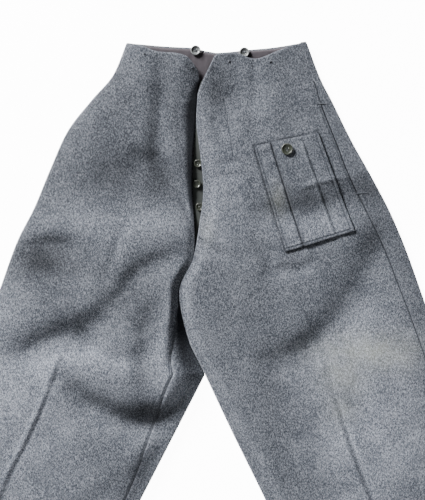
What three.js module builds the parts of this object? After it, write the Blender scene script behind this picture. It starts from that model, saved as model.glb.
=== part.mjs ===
import * as THREE from 'three';

// Battledress trousers laid flat on their back, in millimetres. x runs across the garment, y towards
// the waist and z up from the surface. The tables are measured from the fork, where the legs part.
// "Right" and "left" are the wearer's sides, so the right leg has the negative x.

// Cloth and clearances
const SERGE = 2;
const LINING = 1;
const DRILL = 1.6;
const SEAM_GAP = 0.3;
const FORK_GAP = 0.3;
const POCKET_GAP = 0.6;

// Heights of the middle of the cloth above the surface
const BACK_LEVEL = SERGE / 2;
const SIDE_RISE = 5.2;
const STAND_LEVEL = 4.3;

// How far apart the grid lines lie
const STEPS_ACROSS_FRONT = 10;
const STEPS_ACROSS_BACK = 3;
const STEPS_AT_EDGE = 3;
const STEPS_AROUND_FOLD = 3;
const STEPS_IN_WRAP = 2;
const BAND_STEPS = 3;
const STEPS_IN_ROW = [
  { above: 2, steps: 2 },
  { above: 6, steps: 2 },
  { above: 12, steps: 3 },
  { above: 14, steps: 2 },
];

// How wide the flat strips are that run beside an edge of the front, at the side of the back and
// along the centre seam
const EDGE_STRIP = 5;
const CENTRE_STRIP = 20;

// The waist is row 0 of the tables, the waistband seam row 1, the crotch row 7, the fork row 9 and
// the hem row 14.
const BAND_SEAM_ROW = 1;
const FLY_BASE_ROW = 5.55;
const CROTCH_ROW = 7;
const FORK_ROW = 9;
const HEM_ROW = 14;
const SEAM_STEP = 0.004;
const TINY = 0.05;

// The line both legs share, from the top of the waist to the fork
const CENTRE_LINE = [
  { x: 0, y: 558 },
  { x: -13, y: 473 },
  { x: -15, y: 433 },
  { x: -8, y: 374 },
  { x: -3, y: 315 },
  { x: -10, y: 255 },
  { x: -20, y: 199 },
  { x: -44, y: 141 },
  { x: -31, y: 68 },
  { x: 0, y: 0 },
];

// The inner fold of each leg, from the fork to the hem
const RIGHT_INNER_FOLD = [
  { x: 0, y: 0 },
  { x: -46, y: -90 },
  { x: -100, y: -195 },
  { x: -156, y: -303 },
  { x: -214, y: -411 },
  { x: -280, y: -539 },
];
const LEFT_INNER_FOLD = [
  { x: 0, y: 0 },
  { x: 42, y: -90 },
  { x: 93, y: -194 },
  { x: 145, y: -303 },
  { x: 196, y: -411 },
  { x: 257, y: -539 },
];

// One row for each section: its outer fold, how far its middle hangs below a straight line, how far
// the front cloth rises in the middle, the height and width of the roll at its inner edge, where the
// front cloth ends (fly edge or inseam, from the inner end) and where the side seam lies (from the
// outer fold, under the leg where it is negative).
const RIGHT_LEG = [
  { outX: -134, outY: 566, sag: 0, crown: 9, edge: 9, roll: 20, inSeam: 0, sideSeam: -8 },
  { outX: -157, outY: 512, sag: 20, crown: 6, edge: 4.3, roll: 22, inSeam: 0, sideSeam: -8 },
  { outX: -195, outY: 467, sag: 16, crown: 7, edge: 4.3, roll: 24, inSeam: 1, sideSeam: -8 },
  { outX: -235, outY: 415, sag: 10, crown: 8, edge: 4.3, roll: 24, inSeam: 13, sideSeam: -8 },
  { outX: -265, outY: 349, sag: 6, crown: 8, edge: 4.3, roll: 26, inSeam: 19, sideSeam: -8 },
  { outX: -292, outY: 284, sag: 3, crown: 9, edge: 4.3, roll: 22, inSeam: 8, sideSeam: -8 },
  { outX: -320, outY: 229, sag: 0, crown: 11, edge: 8, roll: 20, inSeam: 0, sideSeam: -8 },
  { outX: -345, outY: 161, sag: 0, crown: 13, edge: 8, roll: 18, inSeam: 0, sideSeam: -8 },
  { outX: -366, outY: 100, sag: 0, crown: 15, edge: 6.2, roll: 34, inSeam: 20, sideSeam: -8 },
  { outX: -389, outY: 22, sag: 0, crown: 15, edge: 6.2, roll: 60, inSeam: 54, sideSeam: -8 },
  { outX: -408, outY: -51, sag: 0, crown: 13, edge: 6.2, roll: 52, inSeam: 42, sideSeam: -8 },
  { outX: -427, outY: -136, sag: 0, crown: 10, edge: 6.2, roll: 42, inSeam: 27, sideSeam: -8 },
  { outX: -445, outY: -230, sag: 0, crown: 7, edge: 6.2, roll: 36, inSeam: 20, sideSeam: -8 },
  { outX: -462, outY: -326, sag: 0, crown: 4, edge: 6.2, roll: 30, inSeam: 16, sideSeam: -8 },
  { outX: -479, outY: -432, sag: 0, crown: 0.4, edge: 6.2, roll: 26, inSeam: 12, sideSeam: -8 },
];
const LEFT_LEG = [
  { outX: 173, outY: 568, sag: 0, crown: 9, edge: 13, roll: 30, inSeam: 24, sideSeam: 11 },
  { outX: 198, outY: 503, sag: 12, crown: 6, edge: 10.2, roll: 26, inSeam: 0, sideSeam: 13 },
  { outX: 217, outY: 466, sag: 9, crown: 7, edge: 10.2, roll: 26, inSeam: 0, sideSeam: 20 },
  { outX: 250, outY: 399, sag: 5, crown: 7, edge: 10.2, roll: 30, inSeam: 0, sideSeam: 27 },
  { outX: 284, outY: 338, sag: 3, crown: 7, edge: 10.2, roll: 30, inSeam: 0, sideSeam: 37 },
  { outX: 316, outY: 277, sag: 0, crown: 7, edge: 10.2, roll: 30, inSeam: 0, sideSeam: 40 },
  { outX: 342, outY: 216, sag: 0, crown: 9, edge: 8, roll: 22, inSeam: 0, sideSeam: 37 },
  { outX: 364, outY: 155, sag: 0, crown: 11, edge: 8, roll: 20, inSeam: 0, sideSeam: 36 },
  { outX: 386, outY: 90, sag: 0, crown: 12, edge: 12, roll: 20, inSeam: -1.5, sideSeam: 33 },
  { outX: 406, outY: 22, sag: 0, crown: 11, edge: 11, roll: 24, inSeam: -1.5, sideSeam: 29 },
  { outX: 427, outY: -51, sag: 0, crown: 9, edge: 8, roll: 30, inSeam: -1.5, sideSeam: 25 },
  { outX: 445, outY: -136, sag: 0, crown: 7, edge: 6.2, roll: 34, inSeam: -1.5, sideSeam: 21 },
  { outX: 464, outY: -230, sag: 0, crown: 5, edge: 6.2, roll: 34, inSeam: -2, sideSeam: 17 },
  { outX: 478, outY: -326, sag: 0, crown: 3, edge: 6.2, roll: 30, inSeam: -2, sideSeam: 13 },
  { outX: 488, outY: -432, sag: 0, crown: 0.4, edge: 6.2, roll: 26, inSeam: -2, sideSeam: 9 },
];

// Where the top edges of the waistband start, in rows below the waist. Across is 0 at the centre
// and 1 at the side.
const RIGHT_FRONT_TOP = [
  { across: 0, start: 0.62 },
  { across: 0.03, start: 0.48 },
  { across: 0.08, start: 0.34 },
  { across: 0.15, start: 0.23 },
  { across: 0.24, start: 0.16 },
  { across: 0.39, start: 0.14 },
  { across: 0.63, start: 0.15 },
  { across: 0.74, start: 0.08 },
  { across: 1, start: 0 },
];
const LEFT_FRONT_TOP = [
  { across: 0, start: 0.42 },
  { across: 0.08, start: 0.3 },
  { across: 0.17, start: 0.14 },
  { across: 0.27, start: 0.13 },
  { across: 0.38, start: 0.16 },
  { across: 0.47, start: 0.28 },
  { across: 0.57, start: 0.27 },
  { across: 0.7, start: 0.17 },
  { across: 0.84, start: 0.08 },
  { across: 1, start: 0 },
];
const RIGHT_BACK_TOP = [
  { across: 0, start: 0.06 },
  { across: 0.13, start: 0.01 },
  { across: 0.5, start: 0.02 },
  { across: 1, start: 0 },
];
const LEFT_BACK_TOP = [
  { across: 0, start: 0.06 },
  { across: 0.15, start: 0.12 },
  { across: 0.42, start: 0.08 },
  { across: 0.7, start: 0.08 },
  { across: 1, start: 0 },
];

// The largest folds of the front cloth. Rows with one name are the stations of one fold. Rise is
// negative in a trough, and reach is its half width.
const RIGHT_FOLDS = [
  { fold: 'crotch drag', x: -23, y: 210, rise: -2, reach: 20 },
  { fold: 'crotch drag', x: -66, y: 196, rise: -4, reach: 22 },
  { fold: 'crotch drag', x: -112, y: 172, rise: -5, reach: 24 },
  { fold: 'crotch drag', x: -143, y: 125, rise: -6, reach: 26 },
  { fold: 'crotch drag', x: -205, y: 80, rise: -6, reach: 26 },
  { fold: 'crotch drag', x: -250, y: 62, rise: -6, reach: 26 },
  { fold: 'crotch drag', x: -345, y: 26, rise: -4, reach: 28 },
  { fold: 'knee bow', x: -236, y: -6, rise: -4, reach: 20 },
  { fold: 'knee bow', x: -188, y: -54, rise: -6, reach: 22 },
  { fold: 'knee bow', x: -120, y: -78, rise: -8, reach: 24 },
  { fold: 'knee bow', x: -82, y: -74, rise: -8, reach: 22 },
  { fold: 'knee bow', x: -48, y: -42, rise: -3, reach: 20 },
  { fold: 'thigh tuck', x: -206, y: 44, rise: -3, reach: 16 },
  { fold: 'thigh tuck', x: -128, y: 30, rise: -3, reach: 16 },
  { fold: 'hip tuck', x: -320, y: 190, rise: -4, reach: 30 },
  { fold: 'hip tuck', x: -252, y: 184, rise: -4, reach: 28 },
  { fold: 'fly hollow', x: -86, y: 352, rise: -2, reach: 20 },
  { fold: 'fly hollow', x: -54, y: 322, rise: -3, reach: 18 },
  { fold: 'fly hollow', x: -34, y: 286, rise: -2, reach: 14 },
  { fold: 'band fold', x: -80, y: 535, rise: -1.5, reach: 16 },
  { fold: 'band fold', x: -76, y: 479, rise: -2.5, reach: 18 },
  { fold: 'band fold', x: -78, y: 400, rise: -2, reach: 20 },
];
const LEFT_FOLDS = [
  { fold: 'hip drag', x: 302, y: 240, rise: -2, reach: 26 },
  { fold: 'hip drag', x: 280, y: 190, rise: -5, reach: 32 },
  { fold: 'hip drag', x: 262, y: 130, rise: -6, reach: 34 },
  { fold: 'hip drag', x: 226, y: 80, rise: -6, reach: 32 },
  { fold: 'hip drag', x: 176, y: 30, rise: -5, reach: 28 },
  { fold: 'hip drag', x: 128, y: 16, rise: -2, reach: 24 },
  { fold: 'hip wrinkle', x: 122, y: 272, rise: -1, reach: 30 },
  { fold: 'hip wrinkle', x: 210, y: 290, rise: -2, reach: 34 },
  { fold: 'hip wrinkle', x: 290, y: 306, rise: -1, reach: 30 },
  { fold: 'under pocket', x: 104, y: 210, rise: -2, reach: 16 },
  { fold: 'under pocket', x: 126, y: 180, rise: -3, reach: 16 },
  { fold: 'under pocket', x: 176, y: 194, rise: -2, reach: 16 },
  { fold: 'inner hollow', x: 130, y: -60, rise: -3, reach: 44 },
  { fold: 'inner hollow', x: 190, y: -150, rise: -4, reach: 44 },
  { fold: 'inner hollow', x: 232, y: -250, rise: -3, reach: 44 },
  { fold: 'front crease', x: 209, y: -15, rise: 1, reach: 12 },
  { fold: 'front crease', x: 241, y: -116, rise: 3, reach: 12 },
  { fold: 'front crease', x: 309, y: -306, rise: 2, reach: 12 },
];

// Corners of the pleated field pocket on the left front, and where its box pleat lies
const POCKET_CORNERS = {
  topInner: { x: 82, y: 389 },
  topOuter: { x: 192, y: 412 },
  bottomInner: { x: 136, y: 209 },
  bottomOuter: { x: 254, y: 245 },
};
const PLEAT_RISE = 2.6;
const POCKET_PROFILE = [
  { across: 0, rise: 0 },
  { across: 0.06, rise: 0 },
  { across: 0.255, rise: 0 },
  { across: 0.275, rise: PLEAT_RISE },
  { across: 0.4, rise: PLEAT_RISE },
  { across: 0.6, rise: PLEAT_RISE },
  { across: 0.725, rise: PLEAT_RISE },
  { across: 0.745, rise: 0 },
  { across: 0.94, rise: 0 },
  { across: 1, rise: 0 },
];
const POCKET_ROWS = 7;

// Buttons: a lathe-turned rim round a dished middle
const BUTTON_SIDES = 18;
const FIELD_BUTTON = { radius: 9.6, height: 3.4, rim: 2.4, dish: 1.2 };
const BRACE_BUTTON = { radius: 8.6, height: 3.2, rim: 2.6, dish: 1.4 };
const FLY_BUTTON = { radius: 6.8, height: 2.8, rim: 1.8, dish: 0.9 };
const FIELD_BUTTON_PLACE = { x: 139, y: 383 };
const BRACE_BUTTON_PLACES = [
  { name: 'brace_button_right', x: -16, y: 553 },
  { name: 'brace_button_left', x: 67, y: 549.5 },
];
const FLY_BUTTON_PLACES = [
  { name: 'fly_button_top', x: -12, y: 360 },
  { name: 'fly_button_middle', x: -14, y: 325 },
  { name: 'fly_button_bottom', x: -9, y: 286 },
];

// Back waistband lining and button stand of the fly
const LINING_SPAN = { right: 110, left: 142, top: 0.03, bottom: 0.9 };
const LINING_STEPS = 8;
const STAND_WIDTH = 26;
const STAND_GAP = 0.9;
const STAND_START_ROW = 0.62;
const STAND_STEPS = 10;

const SERGE_BLUE = { color: 0x6b7382, roughness: 0.95, metalness: 0 };
const LINING_MAUVE = { color: 0x5d5762, roughness: 0.9, metalness: 0 };
const DRILL_OLIVE = { color: 0x4a4d45, roughness: 0.9, metalness: 0 };
const BUTTON_GREY = { color: 0x5f6262, roughness: 0.5, metalness: 0.1 };
const BUTTON_DARK = { color: 0x2c2f2b, roughness: 0.45, metalness: 0 };

// The slope at a station between two steps, level where they turn, so that no value overshoots
function gentlerSlope(before, after) {
  return before * after > 0 ? (2 * before * after) / (before + after) : 0;
}

// A smooth value between the rows of a table
function valueAt(table, column, row) {
  const last = table.length - 1;
  const place = THREE.MathUtils.clamp(row, 0, last);
  const index = Math.min(Math.floor(place), last - 1);
  const t = place - index;
  const before = table[Math.max(index - 1, 0)][column];
  const start = table[index][column];
  const end = table[index + 1][column];
  const after = table[Math.min(index + 2, last)][column];
  const slopeStart = index === 0 ? end - start : gentlerSlope(start - before, end - start);
  const slopeEnd = index + 1 === last ? end - start : gentlerSlope(end - start, after - end);
  const t2 = t * t;
  const t3 = t2 * t;
  const curve = (2 * t3 - 3 * t2 + 1) * start + (3 * t2 - 2 * t3) * end;
  return curve + (t3 - 2 * t2 + t) * slopeStart + (t3 - t2) * slopeEnd;
}

// A value between the rows of a table that names its own stations
function valueAcross(table, column, across) {
  const next = table.findIndex((row) => row.across >= across);
  if (next <= 0) return table[next === 0 ? 0 : table.length - 1][column];
  const from = table[next - 1];
  const to = table[next];
  const t = (across - from.across) / (to.across - from.across);
  return THREE.MathUtils.lerp(from[column], to[column], t);
}

// Ties rows with one name into the stations of one fold
function foldChains(table) {
  const chains = new Map();
  for (const row of table) {
    if (!chains.has(row.fold)) chains.set(row.fold, []);
    chains.get(row.fold).push(row);
  }
  return [...chains.values()];
}

const RIGHT = {
  side: 'right',
  rows: RIGHT_LEG,
  innerFold: RIGHT_INNER_FOLD,
  folds: foldChains(RIGHT_FOLDS),
};
const LEFT = {
  side: 'left',
  rows: LEFT_LEG,
  innerFold: LEFT_INNER_FOLD,
  folds: foldChains(LEFT_FOLDS),
};

// The inner end of a section: the centre line down to the fork, then the leg's own fold
function innerPoint(leg, row) {
  const table = row <= FORK_ROW ? CENTRE_LINE : leg.innerFold;
  const place = row <= FORK_ROW ? row : row - FORK_ROW;
  return { x: valueAt(table, 'x', place), y: valueAt(table, 'y', place) };
}

// The sizes of one section
function section(leg, row) {
  const inner = innerPoint(leg, row);
  const outer = { x: valueAt(leg.rows, 'outX', row), y: valueAt(leg.rows, 'outY', row) };
  const width = Math.hypot(outer.x - inner.x, outer.y - inner.y);
  const closed = THREE.MathUtils.clamp(row - CROTCH_ROW, 0, 1);
  const edge = valueAt(leg.rows, 'edge', row);
  const innerRound = { wide: (closed * SIDE_RISE) / 2, high: (edge - BACK_LEVEL) / 2 };
  const outerRound = { wide: SIDE_RISE / 2, high: SIDE_RISE / 2 };
  return {
    inner,
    outer,
    width,
    closed,
    edge,
    sag: valueAt(leg.rows, 'sag', row),
    crown: valueAt(leg.rows, 'crown', row),
    roll: valueAt(leg.rows, 'roll', row),
    inSeam: valueAt(leg.rows, 'inSeam', row),
    sideSeam: valueAt(leg.rows, 'sideSeam', row),
    innerRound,
    outerRound,
    innerArc: closed * quarterLength(innerRound),
    outerArc: quarterLength(outerRound),
    inset: SEAM_GAP / 2 + closed * (FORK_GAP + SERGE / 2),
  };
}

// Length of a quarter of the ellipse that a fold runs round
function quarterLength(round) {
  return (Math.PI / 2) * Math.sqrt((round.wide ** 2 + round.high ** 2) / 2);
}

// The place on the surface of a point of a section, measured from its inner end
function planPoint(cut, along) {
  const t = along / cut.width;
  const x = THREE.MathUtils.lerp(cut.inner.x, cut.outer.x, t);
  const y = THREE.MathUtils.lerp(cut.inner.y, cut.outer.y, t) - cut.sag * 4 * t * (1 - t);
  return { x, y };
}

// How far the folds lift or sink the front cloth at a place
function foldRise(leg, x, y) {
  let rise = 0;
  for (const chain of leg.folds) {
    let best = 0;
    for (let i = 0; i + 1 < chain.length; i += 1) {
      const from = chain[i];
      const to = chain[i + 1];
      const dx = to.x - from.x;
      const dy = to.y - from.y;
      const reachAlong = ((x - from.x) * dx + (y - from.y) * dy) / (dx * dx + dy * dy);
      const t = THREE.MathUtils.clamp(reachAlong, 0, 1);
      const gap = Math.hypot(x - from.x - t * dx, y - from.y - t * dy);
      const reach = THREE.MathUtils.lerp(from.reach, to.reach, t);
      const here = THREE.MathUtils.lerp(from.rise, to.rise, t) * Math.exp(-((gap / reach) ** 2));
      if (Math.abs(here) > Math.abs(best)) best = here;
    }
    rise += best;
  }
  return rise;
}

// Height of the middle of the front cloth
function frontLevel(leg, cut, along) {
  const plan = planPoint(cut, along);
  const start = cut.inset + cut.innerRound.wide;
  const end = cut.width - SERGE / 2 - cut.outerRound.wide;
  const across = THREE.MathUtils.clamp((along - start) / (end - start), 0, 1);
  const sideFade = 1 - across ** 6;
  const body = BACK_LEVEL + SIDE_RISE + sideFade * (cut.crown + foldRise(leg, plan.x, plan.y));
  const rolled = THREE.MathUtils.smoothstep(along - start, 0, cut.roll);
  return THREE.MathUtils.lerp(cut.edge, body, rolled);
}

// A point of the ring measured from its inner end: up over the front where it is positive, and
// down round the fold and along the back where it is negative
function innerRingPoint(leg, cut, place) {
  const start = cut.inset + cut.innerRound.wide;
  const under = place < 0;
  const path = Math.abs(place);
  if (path < cut.innerArc) {
    const angle = (path / cut.innerArc) * (Math.PI / 2);
    const lift = cut.innerRound.high * Math.sin(angle);
    const along = cut.inset + cut.innerRound.wide * (1 - Math.cos(angle));
    const middle = BACK_LEVEL + cut.innerRound.high;
    return { along, level: under ? middle - lift : middle + lift };
  }
  const along = start + path - cut.innerArc;
  return { along, level: under ? BACK_LEVEL : frontLevel(leg, cut, along) };
}

// The same, measured from the outer fold
function outerRingPoint(leg, cut, place) {
  const start = cut.width - SERGE / 2;
  const under = place < 0;
  const path = Math.abs(place);
  if (path < cut.outerArc) {
    const angle = (path / cut.outerArc) * (Math.PI / 2);
    const lift = cut.outerRound.high * Math.sin(angle);
    const along = start - cut.outerRound.wide * (1 - Math.cos(angle));
    const middle = BACK_LEVEL + cut.outerRound.high;
    return { along, level: under ? middle - lift : middle + lift };
  }
  const along = start - cut.outerRound.wide - path + cut.outerArc;
  return { along, level: under ? BACK_LEVEL : frontLevel(leg, cut, along) };
}

// Splits the way between knots into steps: each knot gives a ring place and the steps up to it
function spread(knots) {
  const places = [knots[0].place];
  for (let i = 1; i < knots.length; i += 1) {
    const from = knots[i - 1].place;
    const count = knots[i].steps;
    for (let k = 1; k <= count; k += 1) {
      places.push(THREE.MathUtils.lerp(from, knots[i].place, k / count));
    }
  }
  return places;
}

// A point of the ring with the direction in which the sheet runs on from it
function pointWithRun(pointAt, place, sense) {
  const behind = pointAt(place - TINY);
  const ahead = pointAt(place + TINY);
  const run = {
    along: (ahead.along - behind.along) * sense,
    level: (ahead.level - behind.level) * sense,
  };
  return { ...pointAt(place), run };
}

// The points across the front, from the fly edge or inseam to the side seam
function frontPlaces(leg, cut) {
  const innerEdge = cut.closed > 0 ? cut.inSeam + SEAM_GAP / 2 : Math.max(cut.inSeam, 2 * TINY);
  const outerEdge = cut.sideSeam + SEAM_GAP / 2;
  const innerTurn = Math.max(innerEdge + EDGE_STRIP, cut.innerArc);
  const outerTurn = Math.max(outerEdge + EDGE_STRIP, cut.outerArc);
  const fromInner = (place) => innerRingPoint(leg, cut, place);
  const fromOuter = (place) => outerRingPoint(leg, cut, place);
  const flat = (along) => ({ along, level: frontLevel(leg, cut, along) });
  const innerPart = spread([{ place: innerEdge }, { place: innerTurn, steps: STEPS_AT_EDGE }]);
  const outerPart = spread([{ place: outerTurn }, { place: outerEdge, steps: STEPS_AT_EDGE }]);
  const points = innerPart.map((place) => pointWithRun(fromInner, place, 1));
  const from = points[points.length - 1].along;
  const to = fromOuter(outerTurn).along;
  for (let k = 1; k < STEPS_ACROSS_FRONT; k += 1) {
    points.push(pointWithRun(flat, THREE.MathUtils.lerp(from, to, k / STEPS_ACROSS_FRONT), 1));
  }
  return points.concat(outerPart.map((place) => pointWithRun(fromOuter, place, -1)));
}

// The points across the back, from the inseam or centre seam round to the side seam
function backPlaces(leg, cut) {
  const innerEdge = cut.closed > 0 ? cut.inSeam - SEAM_GAP / 2 : -2 * TINY;
  const outerEdge = cut.sideSeam - SEAM_GAP / 2;
  const innerFlat = -cut.innerArc - CENTRE_STRIP * (1 - cut.closed);
  const innerTurn = Math.min(cut.innerArc, (innerEdge + innerFlat) / 2);
  const outerFlat = Math.min(-cut.outerArc, outerEdge - EDGE_STRIP);
  const outerTurn = Math.min(cut.outerArc, (outerEdge + outerFlat) / 2);
  const fromInner = (place) => innerRingPoint(leg, cut, place);
  const fromOuter = (place) => outerRingPoint(leg, cut, place);
  const flat = (along) => ({ along, level: BACK_LEVEL });
  const innerPart = spread([
    { place: innerEdge },
    { place: innerTurn, steps: STEPS_IN_WRAP },
    { place: innerFlat, steps: STEPS_AROUND_FOLD },
  ]);
  const outerPart = spread([
    { place: outerFlat },
    { place: outerTurn, steps: STEPS_AROUND_FOLD },
    { place: outerEdge, steps: STEPS_IN_WRAP },
  ]);
  const points = innerPart.map((place) => pointWithRun(fromInner, place, -1));
  const from = points[points.length - 1].along;
  const to = fromOuter(outerFlat).along;
  for (let k = 1; k < STEPS_ACROSS_BACK; k += 1) {
    points.push(pointWithRun(flat, THREE.MathUtils.lerp(from, to, k / STEPS_ACROSS_BACK), 1));
  }
  return points.concat(outerPart.map((place) => pointWithRun(fromOuter, place, 1)));
}

// One row of grid points of a leg's front or back, each with the way the sheet runs across it
function ringRow(leg, row, placesOf) {
  const cut = section(leg, row);
  const across = new THREE.Vector3(cut.outer.x - cut.inner.x, cut.outer.y - cut.inner.y, 0).normalize();
  return placesOf(leg, cut).map(({ along, level, run }) => {
    const plan = planPoint(cut, along);
    const point = new THREE.Vector3(plan.x, plan.y, level);
    point.run = across.clone().multiplyScalar(run.along).setZ(run.level);
    return point;
  });
}

// Rows for the length of a leg, closest together from the seat to the knee
function legRows() {
  const rows = [];
  for (let row = BAND_SEAM_ROW; row < HEM_ROW; row += 1) {
    const count = STEPS_IN_ROW.find(({ above }) => row < above).steps;
    for (let k = 0; k < count; k += 1) rows.push(row + k / count);
  }
  rows.push(HEM_ROW);
  rows[0] = BAND_SEAM_ROW + SEAM_STEP;
  return rows;
}

// Gives a sheet of grid points its thickness: rows of points, moved out to both sides
function wall(rows, thickness, flip) {
  const high = rows.length;
  const wide = rows[0].length;
  const sides = [thickness / 2, -thickness / 2];
  const positions = [];
  for (const shift of sides) {
    for (let j = 0; j < high; j += 1) {
      for (let i = 0; i < wide; i += 1) {
        const across = rows[j][i].run ?? new THREE.Vector3().subVectors(
          rows[j][Math.min(i + 1, wide - 1)],
          rows[j][Math.max(i - 1, 0)],
        );
        const down = new THREE.Vector3().subVectors(
          rows[Math.min(j + 1, high - 1)][i],
          rows[Math.max(j - 1, 0)][i],
        );
        const normal = new THREE.Vector3().crossVectors(across, down).normalize();
        if (flip) normal.negate();
        const point = rows[j][i].clone().addScaledVector(normal, shift);
        point.z = Math.max(point.z, 0);
        positions.push(point.x, point.y, point.z);
      }
    }
  }
  const corner = (side, j, i) => (side * high + j) * wide + i;
  const triangles = [];
  const quad = (a, b, c, d) => triangles.push(...(flip ? [a, c, b, a, d, c] : [a, b, c, a, c, d]));
  for (let j = 0; j + 1 < high; j += 1) {
    for (let i = 0; i + 1 < wide; i += 1) {
      quad(corner(0, j, i), corner(0, j, i + 1), corner(0, j + 1, i + 1), corner(0, j + 1, i));
      quad(corner(1, j, i), corner(1, j + 1, i), corner(1, j + 1, i + 1), corner(1, j, i + 1));
    }
    quad(corner(0, j, 0), corner(0, j + 1, 0), corner(1, j + 1, 0), corner(1, j, 0));
    quad(corner(0, j + 1, wide - 1), corner(0, j, wide - 1), corner(1, j, wide - 1),
      corner(1, j + 1, wide - 1));
  }
  for (let i = 0; i + 1 < wide; i += 1) {
    quad(corner(0, 0, i + 1), corner(0, 0, i), corner(1, 0, i), corner(1, 0, i + 1));
    quad(corner(0, high - 1, i), corner(0, high - 1, i + 1), corner(1, high - 1, i + 1),
      corner(1, high - 1, i));
  }
  const geometry = new THREE.BufferGeometry();
  geometry.setAttribute('position', new THREE.Float32BufferAttribute(positions, 3));
  geometry.setIndex(triangles);
  geometry.computeVertexNormals();
  return geometry;
}

function piece(name, geometry, finish) {
  const mesh = new THREE.Mesh(geometry, new THREE.MeshStandardMaterial(finish));
  mesh.name = name;
  return mesh;
}

// Front or back of a leg, from the waistband seam to the hem
function legPanel(name, leg, placesOf) {
  const rows = legRows().map((row) => ringRow(leg, row, placesOf));
  return piece(name, wall(rows, SERGE, leg.side === 'left'), SERGE_BLUE);
}

// Front or back of the waistband on one side, from its shaped top edge to the seam
function bandPanel(name, leg, placesOf, topEdge) {
  const end = BAND_SEAM_ROW - SEAM_STEP;
  const cut = section(leg, 0);
  const starts = placesOf(leg, cut).map(({ along }) => valueAcross(topEdge, 'start', along / cut.width));
  const rows = [];
  for (let j = 0; j <= BAND_STEPS; j += 1) {
    rows.push(starts.map((start, i) => {
      const row = THREE.MathUtils.lerp(start, end, j / BAND_STEPS);
      return ringRow(leg, row, placesOf)[i];
    }));
  }
  return piece(name, wall(rows, SERGE, leg.side === 'left'), SERGE_BLUE);
}

// The lining that shows inside the back waistband
function bandLining() {
  const level = BACK_LEVEL + SERGE / 2 + SEAM_GAP + LINING / 2;
  const rows = [];
  for (const end of ['top', 'bottom']) {
    const line = [];
    for (let i = -LINING_STEPS; i <= LINING_STEPS; i += 1) {
      const leg = i < 0 ? RIGHT : LEFT;
      const reach = i < 0 ? LINING_SPAN.right : LINING_SPAN.left;
      const along = (Math.abs(i) / LINING_STEPS) * reach;
      const backTop = i < 0 ? RIGHT_BACK_TOP : LEFT_BACK_TOP;
      const start = valueAcross(backTop, 'start', along / section(leg, 0).width);
      const row = end === 'top' ? start + LINING_SPAN.top : LINING_SPAN.bottom;
      const plan = planPoint(section(leg, row), along);
      line.push(new THREE.Vector3(plan.x, plan.y, level));
    }
    rows.push(line);
  }
  return piece('waistband_lining', wall(rows, LINING, true), LINING_MAUVE);
}

// The button stand that the fly buttons are sewn to, under the left front
function flyStand() {
  const rows = [];
  for (let j = 0; j <= STAND_STEPS; j += 1) {
    const row = THREE.MathUtils.lerp(STAND_START_ROW, FLY_BASE_ROW, j / STAND_STEPS);
    const rightFront = section(RIGHT, row);
    const from = planPoint(rightFront, rightFront.inset + rightFront.inSeam);
    const to = planPoint(section(LEFT, row), STAND_WIDTH);
    const line = [];
    for (let i = 0; i <= 2; i += 1) {
      const x = THREE.MathUtils.lerp(from.x + STAND_GAP, to.x, i / 2);
      const y = THREE.MathUtils.lerp(from.y, to.y, i / 2);
      line.push(new THREE.Vector3(x, y, STAND_LEVEL));
    }
    rows.push(line);
  }
  return piece('fly_stand', wall(rows, DRILL, true), DRILL_OLIVE);
}

// The section of a leg that a place on the surface lies in, found by halving
function levelAt(leg, x, y) {
  let above = 0;
  let below = HEM_ROW;
  for (let k = 0; k < 30; k += 1) {
    const middle = (above + below) / 2;
    const cut = section(leg, middle);
    const along = ((x - cut.inner.x) / (cut.outer.x - cut.inner.x)) * cut.width;
    if (planPoint(cut, along).y > y) above = middle;
    else below = middle;
  }
  const cut = section(leg, above);
  const along = ((x - cut.inner.x) / (cut.outer.x - cut.inner.x)) * cut.width;
  return frontLevel(leg, cut, along);
}

// A place on the field pocket from its share across and down
function pocketPlan(across, down) {
  const { topInner, topOuter, bottomInner, bottomOuter } = POCKET_CORNERS;
  const mix = THREE.MathUtils.lerp;
  const x = mix(mix(topInner.x, topOuter.x, across), mix(bottomInner.x, bottomOuter.x, across), down);
  const y = mix(mix(topInner.y, topOuter.y, across), mix(bottomInner.y, bottomOuter.y, across), down);
  return { x, y };
}

function pocketLevel(x, y, rise) {
  return levelAt(LEFT, x, y) + SERGE + POCKET_GAP + rise;
}

function fieldPocket() {
  const rows = [];
  for (let j = 0; j <= POCKET_ROWS; j += 1) {
    rows.push(POCKET_PROFILE.map(({ across, rise }) => {
      const { x, y } = pocketPlan(across, j / POCKET_ROWS);
      return new THREE.Vector3(x, y, pocketLevel(x, y, rise));
    }));
  }
  return piece('field_pocket', wall(rows, SERGE, true), SERGE_BLUE);
}

// A turned button standing on the level below it
function button(name, size, place, floor, finish) {
  const { radius, height, rim, dish } = size;
  const profile = [
    new THREE.Vector2(0, 0),
    new THREE.Vector2(radius * 0.7, 0),
    new THREE.Vector2(radius, height * 0.45),
    new THREE.Vector2(radius - rim * 0.35, height),
    new THREE.Vector2(radius - rim * 0.75, height),
    new THREE.Vector2(radius - rim * 1.2, height - dish),
    new THREE.Vector2(0, height - dish),
  ];
  const geometry = new THREE.LatheGeometry(profile, BUTTON_SIDES);
  geometry.rotateX(Math.PI / 2);
  const mesh = piece(name, geometry, finish);
  mesh.position.set(place.x, place.y, floor + SEAM_GAP);
  return mesh;
}

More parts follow.
